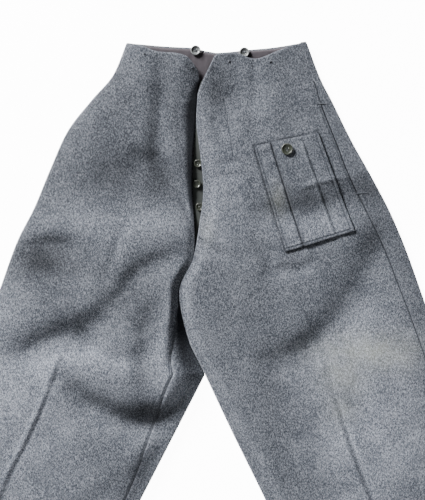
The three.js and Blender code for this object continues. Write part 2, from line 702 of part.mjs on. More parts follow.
function buttons() {
  const liningTop = BACK_LEVEL + SERGE / 2 + SEAM_GAP + LINING;
  const standTop = STAND_LEVEL + DRILL / 2;
  const { x, y } = FIELD_BUTTON_PLACE;
  const pocketTop = pocketLevel(x, y, PLEAT_RISE) + SERGE / 2;
  return [
    button('field_pocket_button', FIELD_BUTTON, FIELD_BUTTON_PLACE, pocketTop, BUTTON_DARK),
    ...BRACE_BUTTON_PLACES.map((place) => button(place.name, BRACE_BUTTON, place, liningTop, BUTTON_GREY)),
    ...FLY_BUTTON_PLACES.map((place) => button(place.name, FLY_BUTTON, place, standTop, BUTTON_DARK)),
  ];
}

const trousers = new THREE.Group();
trousers.add(
  legPanel('front_right', RIGHT, frontPlaces),
  legPanel('front_left', LEFT, frontPlaces),
  legPanel('back_right', RIGHT, backPlaces),
  legPanel('back_left', LEFT, backPlaces),
  bandPanel('waistband_front_right', RIGHT, frontPlaces, RIGHT_FRONT_TOP),
  bandPanel('waistband_front_left', LEFT, frontPlaces, LEFT_FRONT_TOP),
  bandPanel('waistband_back_right', RIGHT, backPlaces, RIGHT_BACK_TOP),
  bandPanel('waistband_back_left', LEFT, backPlaces, LEFT_BACK_TOP),
  bandLining(),
  flyStand(),
  fieldPocket(),
  ...buttons(),
);

// The origin lies under the middle of the garment
const bounds = new THREE.Box3().setFromObject(trousers);
const middle = bounds.getCenter(new THREE.Vector3());
trousers.position.set(-middle.x, -middle.y, -bounds.min.z);

export default trousers;
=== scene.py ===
import math

import bmesh
import bpy
import numpy as np
from bpy.props import FloatProperty, FloatVectorProperty, IntProperty, PointerProperty
from bpy.types import Operator, Panel, PropertyGroup
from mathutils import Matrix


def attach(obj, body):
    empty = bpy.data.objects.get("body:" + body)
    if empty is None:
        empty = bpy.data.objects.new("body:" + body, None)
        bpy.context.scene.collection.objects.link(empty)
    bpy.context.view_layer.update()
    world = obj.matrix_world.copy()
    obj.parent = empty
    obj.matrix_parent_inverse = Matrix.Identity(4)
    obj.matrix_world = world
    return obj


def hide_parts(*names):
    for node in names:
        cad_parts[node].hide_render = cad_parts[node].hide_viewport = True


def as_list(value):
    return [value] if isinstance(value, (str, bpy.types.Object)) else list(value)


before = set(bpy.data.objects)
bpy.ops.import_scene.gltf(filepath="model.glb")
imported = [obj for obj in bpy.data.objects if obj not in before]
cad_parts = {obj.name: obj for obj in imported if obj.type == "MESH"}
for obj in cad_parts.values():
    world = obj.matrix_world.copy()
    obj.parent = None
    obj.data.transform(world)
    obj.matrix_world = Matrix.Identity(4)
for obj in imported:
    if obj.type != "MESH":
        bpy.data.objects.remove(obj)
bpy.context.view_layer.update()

bl_info = {
    "name": "Battledress trousers",
    "version": (1, 0, 0),
    "blender": (4, 5, 0),
    "location": "3D View > Sidebar > Trousers",
    "description": "Wool serge battledress trousers laid flat, with their stitching and buttons",
    "category": "Object",
}

MM = 0.001

# The tables are in millimetres from the fork, where the legs part. The frame's origin lies under
# the middle of the garment, this far from the fork.
FORK_TO_MIDDLE = np.array([4.486, 14.663, 0.0])

# Cloth and clearances in millimetres
SERGE = 2.0
LINING = 1.0
DRILL = 1.6
SEAM_GAP = 0.3
SEAM_CLOSE = 0.08
POCKET_GAP = 0.4
STAND_GAP = 0.9
TINY = 0.1

# The rim of a sheet: how much thinner the cloth is at its very edge and within what width, how far
# the rim stands out, and how much farther off a side counts that is pressed flat on the next piece
EDGE_THINNING = 0.45
EDGE_WIDTH = 1.3
RIM_BULGE = 0.12
PRESSED = 1.7

# Low uneven swells of the cloth: the seed of their waves, their length and their height
LONG_SWELL = (11, 90, 1.0)
SHORT_SWELL = (12, 34, 0.35)
PUCKER = (31, 16, 0.5)
POCKET_SWELL = (41, 30, 0.3)
STAND_SWELL = (51, 30, 0.2)
WAVES = 7

# Heights of the middle of the cloth above the surface
BACK_LEVEL = SERGE / 2
SIDE_RISE = 5.2
STAND_LEVEL = 4.3
LEAST_FRONT_LEVEL = BACK_LEVEL + SERGE + 0.6

# The waist is row 0 of the tables, the waistband seam row 1, the crotch row 7, the fork row 9 and
# the hem row 14.
BAND_SEAM_ROW = 1
FLY_BASE_ROW = 5.55
FLY_BASE_LEVEL = 11.5
CROTCH_ROW = 7
FORK_ROW = 9
HEM_ROW = 14
SEAM_STEP = 0.0008

# Rows between which the right front falls off steeply into the open fly and beside the fork, and
# rows between which its edge rises to meet the left front at the fly's foot
FLY_STEEP_ROWS = (FLY_BASE_ROW + 0.2, FLY_BASE_ROW - 1.4)
FORK_STEEP_ROWS = (CROTCH_ROW + 0.3, CROTCH_ROW + 1.1)
FORK_END_ROWS = (FORK_ROW + 0.8, FORK_ROW)
FLY_MEETS_ROWS = (FLY_BASE_ROW - 1.1, FLY_BASE_ROW)
FLY_PARTS_ROWS = (6.5, 5.9)
STEEP_REACH = 16
STEEPNESS = 1.5

# How late a front falls off toward its side fold: the power of the share across
SIDE_FADE = 6

# Steps of the cloth grids: over a front and a back of a leg and of the waistband, and down the band
FRONT_STEPS = 88
BACK_STEPS = 40
BAND_FRONT_STEPS = 48
BAND_BACK_STEPS = 24
BAND_STEPS_DOWN = 18

# Rows that a leg's length is measured at, halvings that find the row of a place, and the distance
# in millimetres that stands for far off
FINE_ROWS = 4000
ROW_HALVINGS = 26
FAR_OFF = 99.0

# The photograph's frame: its middle from the fork, its height, and the camera's lens
VIEW_MIDDLE = (12.75, 212.5)
VIEW_HEIGHT = 850.0
VIEW_LEVEL = 10.0
LENS_MM = 70.0
SENSOR_MM = 36.0


def table(columns, *rows):
    """A table with named columns, one row for each section, station or place."""
    return {name: np.array([row[i] for row in rows]) for i, name in enumerate(columns.split())}


CENTRE_LINE = table(
    "x y",
    (0, 558), (-13, 473), (-15, 433), (-8, 374), (-3, 315),
    (-10, 255), (-20, 199), (-44, 141), (-31, 68), (0, 0),
)
RIGHT_INNER_FOLD = table("x y", (0, 0), (-46, -90), (-100, -195), (-156, -303), (-214, -411), (-280, -539))
LEFT_INNER_FOLD = table("x y", (0, 0), (42, -90), (93, -194), (145, -303), (196, -411), (257, -539))

# One row for each section. At the fly and the fork some edges and rolls differ from the
# construction's by a few millimetres.
RIGHT_LEG = table(
    "out_x out_y sag crown edge roll in_seam side_seam",
    (-134, 566, 0, 9.0, 9.0, 20, 0, -8),
    (-157, 512, 20, 6.0, 4.3, 28, 0, -8),
    (-195, 467, 16, 7.0, 4.3, 36, 1, -8),
    (-235, 415, 10, 8.0, 4.3, 30, 13, -8),
    (-265, 349, 6, 8.0, 4.3, 26, 19, -8),
    (-292, 284, 3, 9.0, 4.3, 22, 8, -8),
    (-320, 229, 0, 11.0, 11.0, 18, 0, -8),
    (-345, 161, 0, 13.0, 10.0, 18, 0, -8),
    (-366, 100, 0, 15.0, 6.2, 22, 20, -8),
    (-389, 22, 0, 15.0, 6.2, 36, 54, -8),
    (-408, -51, 0, 13.0, 6.2, 52, 42, -8),
    (-427, -136, 0, 10.0, 6.2, 42, 27, -8),
    (-445, -230, 0, 7.0, 6.2, 36, 20, -8),
    (-462, -326, 0, 4.0, 6.2, 30, 16, -8),
    (-479, -432, 0, 0.4, 6.2, 26, 12, -8),
)
LEFT_LEG = table(
    "out_x out_y sag crown edge roll in_seam side_seam",
    (173, 568, 0, 9.0, 13.0, 30, 24, 11),
    (198, 503, 12, 6.0, 10.2, 26, 0, 13),
    (217, 466, 9, 7.0, 10.2, 26, 0, 20),
    (250, 399, 5, 7.0, 10.2, 30, 0, 27),
    (284, 338, 3, 7.0, 10.2, 30, 0, 37),
    (316, 277, 0, 7.0, 10.2, 30, 0, 40),
    (342, 216, 0, 9.0, 11.5, 22, 0, 37),
    (364, 155, 0, 11.0, 11.0, 20, 0, 36),
    (386, 90, 0, 12.0, 12.0, 20, -1.5, 33),
    (406, 22, 0, 11.0, 11.0, 24, -1.5, 29),
    (427, -51, 0, 9.0, 8.0, 30, -1.5, 25),
    (445, -136, 0, 7.0, 6.2, 34, -1.5, 21),
    (464, -230, 0, 5.0, 6.2, 34, -2, 17),
    (478, -326, 0, 3.0, 6.2, 30, -2, 13),
    (488, -432, 0, 0.4, 6.2, 26, -2, 9),
)

# Where the top edges of the waistband start, in rows below the waist, from the centre to the side
RIGHT_FRONT_TOP = table(
    "across start",
    (0, 0.62), (0.03, 0.48), (0.08, 0.34), (0.15, 0.23), (0.24, 0.16), (0.39, 0.14), (0.63, 0.15),
    (0.74, 0.08), (1, 0),
)
LEFT_FRONT_TOP = table(
    "across start",
    (0, 0.42), (0.08, 0.3), (0.17, 0.14), (0.27, 0.13), (0.38, 0.16),
    (0.47, 0.28), (0.57, 0.27), (0.7, 0.17), (0.84, 0.08), (1, 0),
)
RIGHT_BACK_TOP = table("across start", (0, 0.06), (0.13, 0.01), (0.5, 0.02), (1, 0))
LEFT_BACK_TOP = table("across start", (0, 0.06), (0.15, 0.12), (0.42, 0.08), (0.7, 0.08), (1, 0))

# Folds of the cloth, each with its stations. Rise is negative in a trough. A fold falls off within
# near on its side toward the upper left and within far on the other side.
FOLD_COLUMNS = "x y rise near far"
FOLD_SIDE = (-0.63, 0.77)
FOLD_REACH = 2.6
RIGHT_FRONT_FOLDS = {
    "crotch drag": (
        (-19, 212, -1, 15, 23), (-67, 195, -3.5, 17, 30), (-111, 172, -4.5, 19, 34),
        (-144, 127, -5.5, 24, 39), (-169, 97, -7, 28, 41), (-203, 77, -10, 28, 39),
        (-247, 62, -10.5, 28, 39), (-299, 39, -9, 26, 41), (-346, 20, -6, 27, 46),
    ),
    "knee bow": (
        (-239, -6, -4.5, 18, 24), (-216, -33, -8, 20, 26), (-188, -57, -10.5, 21, 29),
        (-156, -75, -11.5, 22, 31), (-118, -84, -12.5, 22, 33), (-81, -84, -13, 22, 33),
        (-51, -70, -9.5, 20, 31), (-29, -48, -5.5, 18, 26), (-3, -20, -3, 16, 22),
    ),
    "thigh tuck": (
        (-208, 67, -3, 13, 22), (-190, 45, -6, 16, 22), (-162, 29, -6, 16, 22), (-132, 26, -4, 16, 19),
        (-108, 31, -1.2, 16, 19),
    ),
    "thigh side": (
        (-80, 132, -1, 18, 26), (-98, 72, -4, 18, 26), (-101, 6, -4, 16, 24), (-84, -40, -2, 16, 24),
    ),
    "hip tuck": (
        (-312, 177, -3, 22, 40), (-271, 177, -4, 22, 44), (-230, 170, -4, 22, 40),
        (-201, 154, -1.5, 20, 34),
    ),
    "hip edge": (
        (-331, 221, -4.5, 9, 30), (-277, 223, -7.5, 8, 32), (-244, 222, -6, 8, 28),
        (-220, 207, -1.5, 9, 20),
    ),
    "band fold": (
        (-76, 530, -1.6, 12, 30), (-72, 493, -3, 12, 32), (-73, 441, -3.4, 13, 32),
        (-76, 390, -2.4, 14, 30), (-70, 350, -1, 14, 26),
    ),
    "fly hollow": (
        (-124, 377, -1, 18, 22), (-88, 362, -4.6, 14, 22), (-59, 332, -7.2, 12, 20),
        (-36, 299, -7, 11, 14), (-20, 267, -4, 9, 10), (-13, 242, -1.5, 7, 8),
    ),
    "hip hollow": (
        (-170, 344, -1.65, 30, 48), (-140, 322, -3.85, 32, 50), (-103, 298, -3.3, 28, 43),
    ),
    "fly ridge": (
        (-60, 502, 0.6, 14, 14), (-57, 452, 1.4, 14, 16), (-57, 400, 1.6, 14, 16),
        (-52, 352, 1.4, 14, 14), (-36, 314, 0.5, 12, 12),
    ),
    "seat drape": (
        (-143, 247, -0.8, 9, 12), (-153, 206, -1.4, 9, 14), (-168, 164, -0.8, 9, 12),
    ),
    "fork pit": (
        (-42, 110, -2, 14, 8), (-34, 72, -4, 16, 10), (-24, 45, -5, 16, 12), (-12, 18, -4, 14, 14),
    ),
    "pit rim": (
        (-54, 140, 1.5, 8, 10), (-60, 100, 3.2, 8, 10), (-66, 54, 3, 8, 10), (-70, 30, 1.5, 8, 10),
    ),
    "leg crease": (
        (-232, 60, 0.5, 4, 4), (-250, 25, 1.3, 4, 4), (-272, -34, 1.8, 4, 4), (-306, -110, 2, 4, 4),
        (-342, -182, 2, 4, 4), (-372, -290, 1.8, 4, 4), (-384, -480, 1.6, 4, 4),
    ),
    "shin fold": (
        (-76, -138, -1, 24, 36), (-119, -169, -3, 30, 44), (-167, -211, -3, 32, 46),
        (-228, -269, -1, 32, 46),
    ),
    "shin tuck": (
        (-300, -250, -0.5, 22, 30), (-240, -270, -3, 22, 30), (-180, -282, -1, 20, 26),
    ),
    "hem fold": (
        (-400, -330, -1, 24, 32), (-330, -370, -3, 24, 32), (-275, -430, -0.5, 22, 30),
    ),
    "beside crease": (
        (-246, 23, -0.3, 4, 6), (-267, -36, -0.6, 4, 6), (-301, -112, -0.6, 4, 6),
        (-337, -184, -0.5, 4, 6),
    ),
}
LEFT_FRONT_FOLDS = {
    "hip drag": (
        (305, 240, -4, 24, 29), (288, 195, -6.5, 30, 39), (270, 150, -7.5, 35, 47),
        (252, 114, -7.5, 38, 49), (226, 84, -7.5, 35, 49), (197, 59, -7.5, 29, 47),
        (165, 38, -6.5, 26, 44), (127, 27, -3.6, 22, 39), (98, 24, -1, 22, 34),
    ),
    "hip wrinkle": (
        (102, 273, -2, 20, 24), (154, 278, -4, 28, 28), (206, 288, -4.4, 30, 30),
        (255, 302, -4.4, 30, 30), (299, 313, -4.4, 26, 28), (325, 322, -2, 18, 26),
    ),
    "wrinkle edge": (
        (165, 318, 0.8, 5, 5), (189, 327, 1.3, 5, 5), (230, 335, 1.2, 5, 5), (272, 346, 2, 5, 6),
        (300, 352, 1.4, 5, 6),
    ),
    "under pocket": (
        (82, 230, -1, 9, 12), (103, 205, -3.4, 10, 15), (120, 178, -3.6, 11, 17),
        (150, 178, -2.5, 10, 15), (184, 193, -1, 9, 13),
    ),
    "fly shoulder": (
        (42, 545, -1.5, 38, 26), (44, 516, -4, 38, 28), (45, 478, -4.4, 38, 28), (42, 440, -2, 34, 26),
        (38, 415, -0.6, 30, 24),
    ),
    "band dent": (
        (85, 533, -1.5, 9, 20), (85, 477, -2.2, 11, 26), (83, 417, -1.2, 11, 26),
    ),
    "inner hollow": (
        (126, 7, -1, 50, 50), (153, -61, -4, 50, 52), (187, -146, -5, 50, 52), (228, -248, -5, 50, 52),
        (279, -384, -2, 50, 52),
    ),
    "leg crease": (
        (133, 178, 0.3, 5, 5), (170, 92, 0.5, 5, 5), (209, -15, 1.2, 4, 4), (241, -116, 1.8, 4, 4),
        (277, -211, 2, 4, 4), (326, -340, 2, 4, 4), (376, -480, 1.6, 4, 4),
    ),
    "beside crease": (
        (206, 1, -1.4, 6, 8), (228, -60, -2.2, 6, 8), (253, -132, -2.6, 6, 8), (286, -217, -2.6, 6, 8),
        (340, -345, -1.4, 7, 8),
    ),
    "outer hollow": (
        (240, -42, -0.8, 18, 28), (278, -91, -2, 20, 30), (329, -125, -1, 20, 30),
    ),
    "fly crease": (
        (19, 359, -0.6, 3, 3), (48, 362, -0.8, 3, 3), (76, 363, -0.5, 3, 3),
    ),
    "fly swell": (
        (24, 300, 0.8, 24, 14), (30, 230, 1, 24, 20),
    ),
    "crotch pull": (
        (-8, 222, -0.6, 5, 6), (30, 206, -1.2, 7, 8), (72, 190, -0.5, 8, 9),
    ),
    "knee fold": (
        (150, -190, -0.6, 26, 30), (210, -210, -2, 24, 30), (300, -200, -0.6, 26, 30),
    ),
    "shin fold": (
        (250, -310, -0.6, 24, 32), (330, -320, -2.5, 24, 32), (420, -290, -0.8, 24, 32),
    ),
    "crotch pull low": (
        (-14, 200, -0.5, 6, 7), (14, 172, -1.1, 8, 9), (44, 150, -0.4, 9, 10),
    ),
    "fly pull": (
        (2, 330, -0.4, 4, 5), (34, 338, -0.9, 5, 6), (62, 336, -0.3, 5, 6),
    ),
}
RIGHT_BACK_FOLDS = {
    "seat crease": (
        (-60, 330, 0.4, 14, 14), (-140, 262, 1.3, 12, 12), (-250, 228, 0.6, 14, 14),
    ),
    "thigh crease": (
        (-80, 60, 0.6, 16, 16), (-190, 78, 1.5, 12, 12), (-300, 40, 0.5, 16, 16),
    ),
    "knee crease": (
        (-140, -120, 0.4, 14, 14), (-230, -150, 1.4, 12, 12), (-340, -110, 0.6, 16, 16),
    ),
    "leg crease": (
        (-215, 40, -0.4, 4, 4), (-300, -170, -0.7, 4, 4), (-380, -480, -0.7, 4, 4),
    ),
}
LEFT_BACK_FOLDS = {
    "seat crease": (
        (40, 300, 0.5, 14, 14), (130, 250, 1.4, 12, 12), (240, 262, 0.5, 14, 14),
    ),
    "thigh crease": (
        (90, 70, 0.5, 16, 16), (190, 100, 1.5, 13, 13), (300, 150, 0.6, 16, 16),
    ),
    "knee crease": (
        (150, -150, 0.6, 14, 14), (240, -130, 1.2, 12, 12), (360, -170, 0.5, 16, 16),
    ),
    "leg crease": (
        (205, 10, -0.4, 4, 4), (290, -220, -0.7, 4, 4), (372, -480, -0.7, 4, 4),
    ),
}

# Lines of stitching on the cloth, as stations from the fork
FLY_STITCHING = table("x y", (33, 470), (36, 450), (39, 425), (44, 401), (48, 370))
INSEAM_INSET = 3.0
SLIT_INSET = 4.0
SLIT_ROWS = (2.1, 4.35)
POCKET_INSET = 5.0
STITCH_LENGTH = 3.0
STITCH_PITCH = 4.2
STITCH_WIDTH = 0.55

# Dark threads of the buttons sewn inside the front waistband, and the bartacks
THREAD_MARKS = table(
    "leg x y size",
    (-1, -103, 545, 4.2), (-1, -22, 522, 4.6), (1, 41, 533, 4.6), (1, 79, 526, 3.0),
    (1, 111, 532, 4.6),
)
BARTACKS = table(
    "leg x y length slant",
    (1, 198, 461, 15, 0.0), (1, 266, 309, 21, 0.05), (1, -7, 232, 9, -0.5),
)

# Stains: greenish on the left thigh, on the pocket and beside the fly
STAINS = table(
    "x y wide high strength",
    (285, 40, 92, 30, 0.6), (235, 5, 40, 42, 0.45), (232, -52, 26, 30, 0.3), (124, 297, 15, 24, 0.6),
    (4, 250, 12, 26, 0.3),
)

# Painted shade: its strength where it is deepest, its width beside the pocket and slit and along a
# seam, and where it fades out at the fly's foot
DEEPEST = 0.95
SHADE_WIDTH = 2.4
SEAM_SHADE_WIDTH = 1.5
FLY_SHADE_FOOT = (226, 290)

# How far the painted shade of the fly and of the fork reaches over the right front, by the distance up from
# the fork
FLY_SHADE = table(
    "y reach",
    (230, 3), (270, 7), (310, 10), (350, 13), (400, 17), (440, 25), (462, 23), (490, 10), (510, 6),
)
FORK_SHADE = table(
    "y reach strength",
    (-40, 36, 0.0), (0, 36, 0.5), (25, 34, 0.75), (60, 25, 0.9), (95, 14, 0.95), (118, 5, 0.95),
    (150, 2.5, 0.7),
)

# Soft patches of painted light and shade, lighter or darker where the folds catch or lose the light, and in
# part paler cloth
PAINTED_LIGHT_AND_PALE_CLOTH = table(
    "x y wide high strength",
    (34, 298, 41, 94, 0.34),
    (-298, -94, 119, 128, 0.4),
    (-298, 19, 102, 24, 0.3),
    (-178, 37, 58, 14, 0.45),
    (289, -76, 105, 153, 0.8),
    (289, 51, 68, 51, 0.3),
    (107, -94, 44, 153, -0.16),
    (-136, 340, 58, 51, -0.22),
    (-119, 119, 51, 68, -0.34),
    (-277, 196, 65, 41, -0.6),
    (-178, 255, 71, 31, 0.3),
    (-63, 15, 20, 34, 0.5),
    (-131, -178, 51, 37, -0.2),
    (114, 476, 37, 68, -0.05),
    (20, 484, 29, 41, -0.36),
    (-63, 468, 15, 85, -0.12),
    (53, 476, 12, 68, -0.1),
    (-204, 272, 51, 37, 0.1),
    (-153, 476, 71, 128, -0.26),
    (-246, 348, 68, 85, -0.2),
    (-100, -58, 61, 24, -0.7),
    (162, 348, 68, 51, 0.1),
    (182, 250, 71, 24, 0.4),
    (155, 289, 44, 19, -0.25),
    (212, 301, 44, 24, -0.2),
    (280, 314, 37, 24, -0.4),
    (284, 230, 27, 34, -0.35),
    (68, 128, 68, 85, -0.14),
    (-90, 400, 12, 85, -0.25),
    (-68, 332, 24, 37, -0.3),
    (-128, -107, 68, 24, -0.2),
    (-223, -15, 20, 14, -0.4),
    (-192, -39, 24, 14, -0.45),
    (-264, 128, 68, 20, -0.15),
    (-94, 260, 68, 24, 0.25),
    (-51, 476, 20, 70, -0.15),
    (29, 267, 34, 32, 0.15),
)
# Painted light: the cloth darker at the waist and lighter towards the knee, changing from 260 mm above the
# fork to 120 mm below it
PAINTED_LIGHT_AT_WAIST = -0.12
PAINTED_LIGHT_AT_KNEE = 0.08
PAINTED_LIGHT_CHANGES = (-260, 120)

# Corners of the field pocket: across from its inner edge, down from its mouth
POCKET_TOP_INNER = (82, 389)
POCKET_TOP_OUTER = (192, 412)
POCKET_BOTTOM_INNER = (136, 209)
POCKET_BOTTOM_OUTER = (254, 245)
POCKET_WIDTH = 112
POCKET_LENGTH = 187
PLEAT_INNER = 0.272
PLEAT_OUTER = 0.73
PLEAT_RISE = 2.4

# On the field pocket, the place, width and height of the hollow beside its pleat, of the ridge on the
# pleat's outer edge and of its hems, and the place, width and strength of its lines of painted shade
PLEAT_HOLLOW = (PLEAT_INNER - 0.008, 0.014, -1.3)
PLEAT_RIDGE = (PLEAT_OUTER - 0.02, 0.02, 0.6)
FOOT_HEM = (0.965, 0.02, 0.3)
MOUTH_HEM = (0.03, 0.02, 0.3)
INNER_LINE = (PLEAT_INNER - 0.008, 0.024, 0.97)
OUTER_LINE = (PLEAT_OUTER + 0.012, 0.012, 0.35)
SIDE_LINE = (0.0, 0.014, 0.8)
MOUTH_LINE = (0.0, 0.010, 0.6)

# The buttons: where each stands, how it is turned, and how it leans
BUTTONS = table(
    "piece node kind x y turn lean_x lean_y",
    ("button_field_pocket", "field_pocket_button", "field", 139, 383, 0.2, 0.02, -0.03),
    ("button_brace_right", "brace_button_right", "brace", -16, 553, 0.5, 0.0, 0.0),
    ("button_brace_left", "brace_button_left", "brace", 67, 549.5, 1.5, 0.0, 0.0),
    ("button_fly_top", "fly_button_top", "fly", -12, 360, 0.0, 0.03, 0.02),
    ("button_fly_middle", "fly_button_middle", "fly", -14, 325, 0.4, 0.03, 0.02),
    ("button_fly_bottom", "fly_button_bottom", "fly", -9, 286, 0.8, 0.03, 0.02),
)

# The profile of a turned button: shares of its radius and height, less shares of its rim and dish
BUTTON_PROFILE = table(
    "radius rim height dish",
    (0, 0, 0, 0), (0.62, 0, 0, 0), (0.86, 0, 0.12, 0), (0.98, 0, 0.38, 0), (1, 0, 0.62, 0),
    (0.985, 0, 0.84, 0), (1, 0.35, 1, 0), (1, 0.62, 0.985, 0), (1, 1, 1, 0.55), (1, 1.35, 1, 1),
    (0.42, 0, 1, 1.08), (0, 0, 1, 1.1),
)

# The turned shape of each kind of button, where its holes lie, and its thread's height and width
BUTTON_KINDS = {
    "field": dict(radius=9.8, height=2.6, rim=2.4, dish=1.0, ring=2.3, hole=0.95),
    "brace": dict(radius=8.6, height=3.2, rim=2.6, dish=1.4, ring=2.2, hole=0.9),
    "fly": dict(radius=6.8, height=2.8, rim=1.8, dish=0.9, ring=1.7, hole=0.7),
}
BUTTON_THREADS = {"field": (2.1, 0.55), "brace": (2.1, 0.55), "fly": (2.0, 0.45)}
FIELD_BUTTON_SHARES = (0.515, 0.045)


class TrousersSettings(PropertyGroup):
    """Sizes and colours of the trousers' cloth and its studio."""

    grid: FloatProperty(
        name="Cloth grid",
        description="Spacing of the cloth's grid lines along a leg",
        default=4.2 * MM,
        subtype="DISTANCE",
        unit="LENGTH",
    )
    fold_strength: FloatProperty(
        name="Fold strength",
        description="How deep the folds are, against the table of folds",
        default=1.2,
        subtype="FACTOR",
    )
    serge_dark: FloatVectorProperty(
        name="Serge, dark fibre",
        description="Colour of the darker fibres of the wool",
        default=(0.034, 0.039, 0.050),
        subtype="COLOR",
    )
    serge_light: FloatVectorProperty(
        name="Serge, light fibre",
        description="Colour of the lighter fibres of the wool",
        default=(0.272, 0.288, 0.326),
        subtype="COLOR",
    )
    stain: FloatVectorProperty(
        name="Stain",
        description="Colour of the greenish stains",
        default=(0.36, 0.37, 0.29),
        subtype="COLOR",
    )
    lining: FloatVectorProperty(
        name="Lining",
        description="Colour of the waistband lining",
        default=(0.032, 0.026, 0.032),
        subtype="COLOR",
    )
    drill: FloatVectorProperty(
        name="Drill",
        description="Colour of the fly's button stand",
        default=(0.030, 0.034, 0.032),
        subtype="COLOR",
    )
    thread: FloatVectorProperty(
        name="Thread",
        description="Colour of the stitching",
        default=(0.035, 0.040, 0.050),
        subtype="COLOR",
    )
    key_light: FloatProperty(
        name="Key light",
        description="Strength of the soft light from beyond the waist",
        default=24.0,
        unit="POWER",
    )
    wall_rings: IntProperty(
        name="Button sides",
        description="Sides of the buttons' round edges",
        default=48,
    )


def settings():
    """The settings of this scene."""
    return bpy.context.scene.trousers


def gentler_slopes(values):
    """The slope at each station of a table, level where the steps turn, so that nothing overshoots."""
    steps = np.diff(values)
    slopes = np.empty(len(values))
    slopes[0], slopes[-1] = steps[0], steps[-1]
    before, after = steps[:-1], steps[1:]
    product = before * after
    total = np.where(product > 0, before + after, 1.0)
    slopes[1:-1] = np.where(product > 0, 2 * product / total, 0.0)
    return slopes


def value_at(values, row):
    """A smooth value between the rows of a table."""
    values = np.asarray(values, dtype=float)
    slopes = gentler_slopes(values)
    place = np.clip(row, 0, len(values) - 1)
    index = np.minimum(np.floor(place).astype(int), len(values) - 2)
    t = place - index
    curve = (2 * t**3 - 3 * t**2 + 1) * values[index] + (3 * t**2 - 2 * t**3) * values[index + 1]
    return curve + (t**3 - 2 * t**2 + t) * slopes[index] + (t**3 - t**2) * slopes[index + 1]


def smooth_step(value, start, end):
    """A soft step from 0 at the start to 1 at the end, which may lie below the start."""
    t = np.clip((value - start) / (end - start), 0, 1)
    return t * t * (3 - 2 * t)


def bell(value, width):
    """A soft bump of height 1 about 0."""
    return np.exp(-((value / width) ** 2))


def ridge(share, place, width, height):
    """A soft ridge, or a trough where the height is negative, at a place across a piece."""
    return height * bell(share - place, width)


def smooth_chain(chain, parts=5):
    """A fold's stations with smooth ones between them."""
    count = len(chain["x"])
    row = np.linspace(0, count - 1, (count - 1) * parts + 1)
    return {name: value_at(values, row) for name, values in chain.items()}


def nearest_on(line, i, x, y):
    """How far along a stretch of a line the nearest point lies, and the way from there to places."""
    ax, ay = line["x"][i], line["y"][i]
    dx, dy = line["x"][i + 1] - ax, line["y"][i + 1] - ay
    t = np.clip(((x - ax) * dx + (y - ay) * dy) / (dx * dx + dy * dy), 0, 1)
    return t, x - ax - t * dx, y - ay - t * dy


def fold_chains(folds):
    """The folds of a table, with smooth stations."""
    return [smooth_chain(table(FOLD_COLUMNS, *stations)) for stations in folds.values()]


def fold_rise(chains, x, y):
    """How far the folds lift the cloth at places on the surface."""
    rise = np.zeros(np.broadcast(x, y).shape)
    for chain in chains:
        reach = max(chain["near"].max(), chain["far"].max()) * FOLD_REACH
        close = (x > chain["x"].min() - reach) & (x < chain["x"].max() + reach)
        close &= (y > chain["y"].min() - reach) & (y < chain["y"].max() + reach)
        found = np.zeros(x[close].shape)
        for i in range(len(chain["x"]) - 1):
            t, off_x, off_y = nearest_on(chain, i, x[close], y[close])
            near, far, depth = (
                chain[key][i] + t * (chain[key][i + 1] - chain[key][i]) for key in ("near", "far", "rise")
            )
            gap = np.hypot(off_x, off_y)
            facing = (off_x * FOLD_SIDE[0] + off_y * FOLD_SIDE[1]) / np.maximum(gap, 1e-6)
            width = far + (near - far) * (0.5 + 0.5 * facing)
            here = depth * bell(gap, width)
            found = np.where(np.abs(here) > np.abs(found), here, found)
        rise[close] += found
    return rise * settings().fold_strength


def ripple(x, y, seed, size, height):
    """Low uneven swells of the cloth: a few crossed waves with fixed phases."""
    draw = np.random.default_rng(seed)
    total = np.zeros(np.broadcast(x, y).shape)
    for _ in range(WAVES):
        angle = draw.uniform(0, math.pi)
        length = size * draw.uniform(0.6, 1.6)
        phase = draw.uniform(0, 2 * math.pi)
        total += np.sin((x * math.cos(angle) + y * math.sin(angle)) * 2 * math.pi / length + phase)
    return total / WAVES * height


class Leg:
    """The tables and folds of one leg."""

    def __init__(self, side, rows, inner_fold, front_folds, back_folds):
        self.side = side
        self.name = "left" if side > 0 else "right"
        self.rows = rows
        self.inner_fold = inner_fold
        self.front_folds = fold_chains(front_folds)
        self.back_folds = fold_chains(back_folds)


RIGHT = Leg(-1, RIGHT_LEG, RIGHT_INNER_FOLD, RIGHT_FRONT_FOLDS, RIGHT_BACK_FOLDS)
LEFT = Leg(1, LEFT_LEG, LEFT_INNER_FOLD, LEFT_FRONT_FOLDS, LEFT_BACK_FOLDS)


def quarter_length(wide, high):
    """Length of a quarter of the ellipse that a fold runs round."""
    return math.pi / 2 * np.sqrt((wide**2 + high**2) / 2)


def section(leg, row):
    """The sizes of sections of a leg."""
    row = np.asarray(row, dtype=float)
    cut = {name: value_at(column, row) for name, column in leg.rows.items()}
    for axis in "xy":
        shared = value_at(CENTRE_LINE[axis], row)
        own = value_at(leg.inner_fold[axis], row - FORK_ROW)
        cut["in_" + axis] = np.where(row <= FORK_ROW, shared, own)
    cut["row"] = row
    cut["width"] = np.hypot(cut["out_x"] - cut["in_x"], cut["out_y"] - cut["in_y"])
    cut["closed"] = np.clip(row - CROTCH_ROW, 0, 1)
    cut["inner_wide"] = cut["closed"] * SIDE_RISE / 2
    cut["inner_high"] = (cut["edge"] - BACK_LEVEL) / 2
    cut["inner_arc"] = cut["closed"] * quarter_length(cut["inner_wide"], cut["inner_high"])
    cut["outer_arc"] = np.full(row.shape, quarter_length(SIDE_RISE / 2, SIDE_RISE / 2))
    cut["inset"] = SEAM_CLOSE / 2 + cut["closed"] * SERGE / 2
    return cut


def plan_point(cut, along):
    """The place on the surface of points of sections, measured from their inner ends."""
    t = along / cut["width"]
    x = cut["in_x"] + t * (cut["out_x"] - cut["in_x"])
    y = cut["in_y"] + t * (cut["out_y"] - cut["in_y"]) - cut["sag"] * 4 * t * (1 - t)
    return x, y


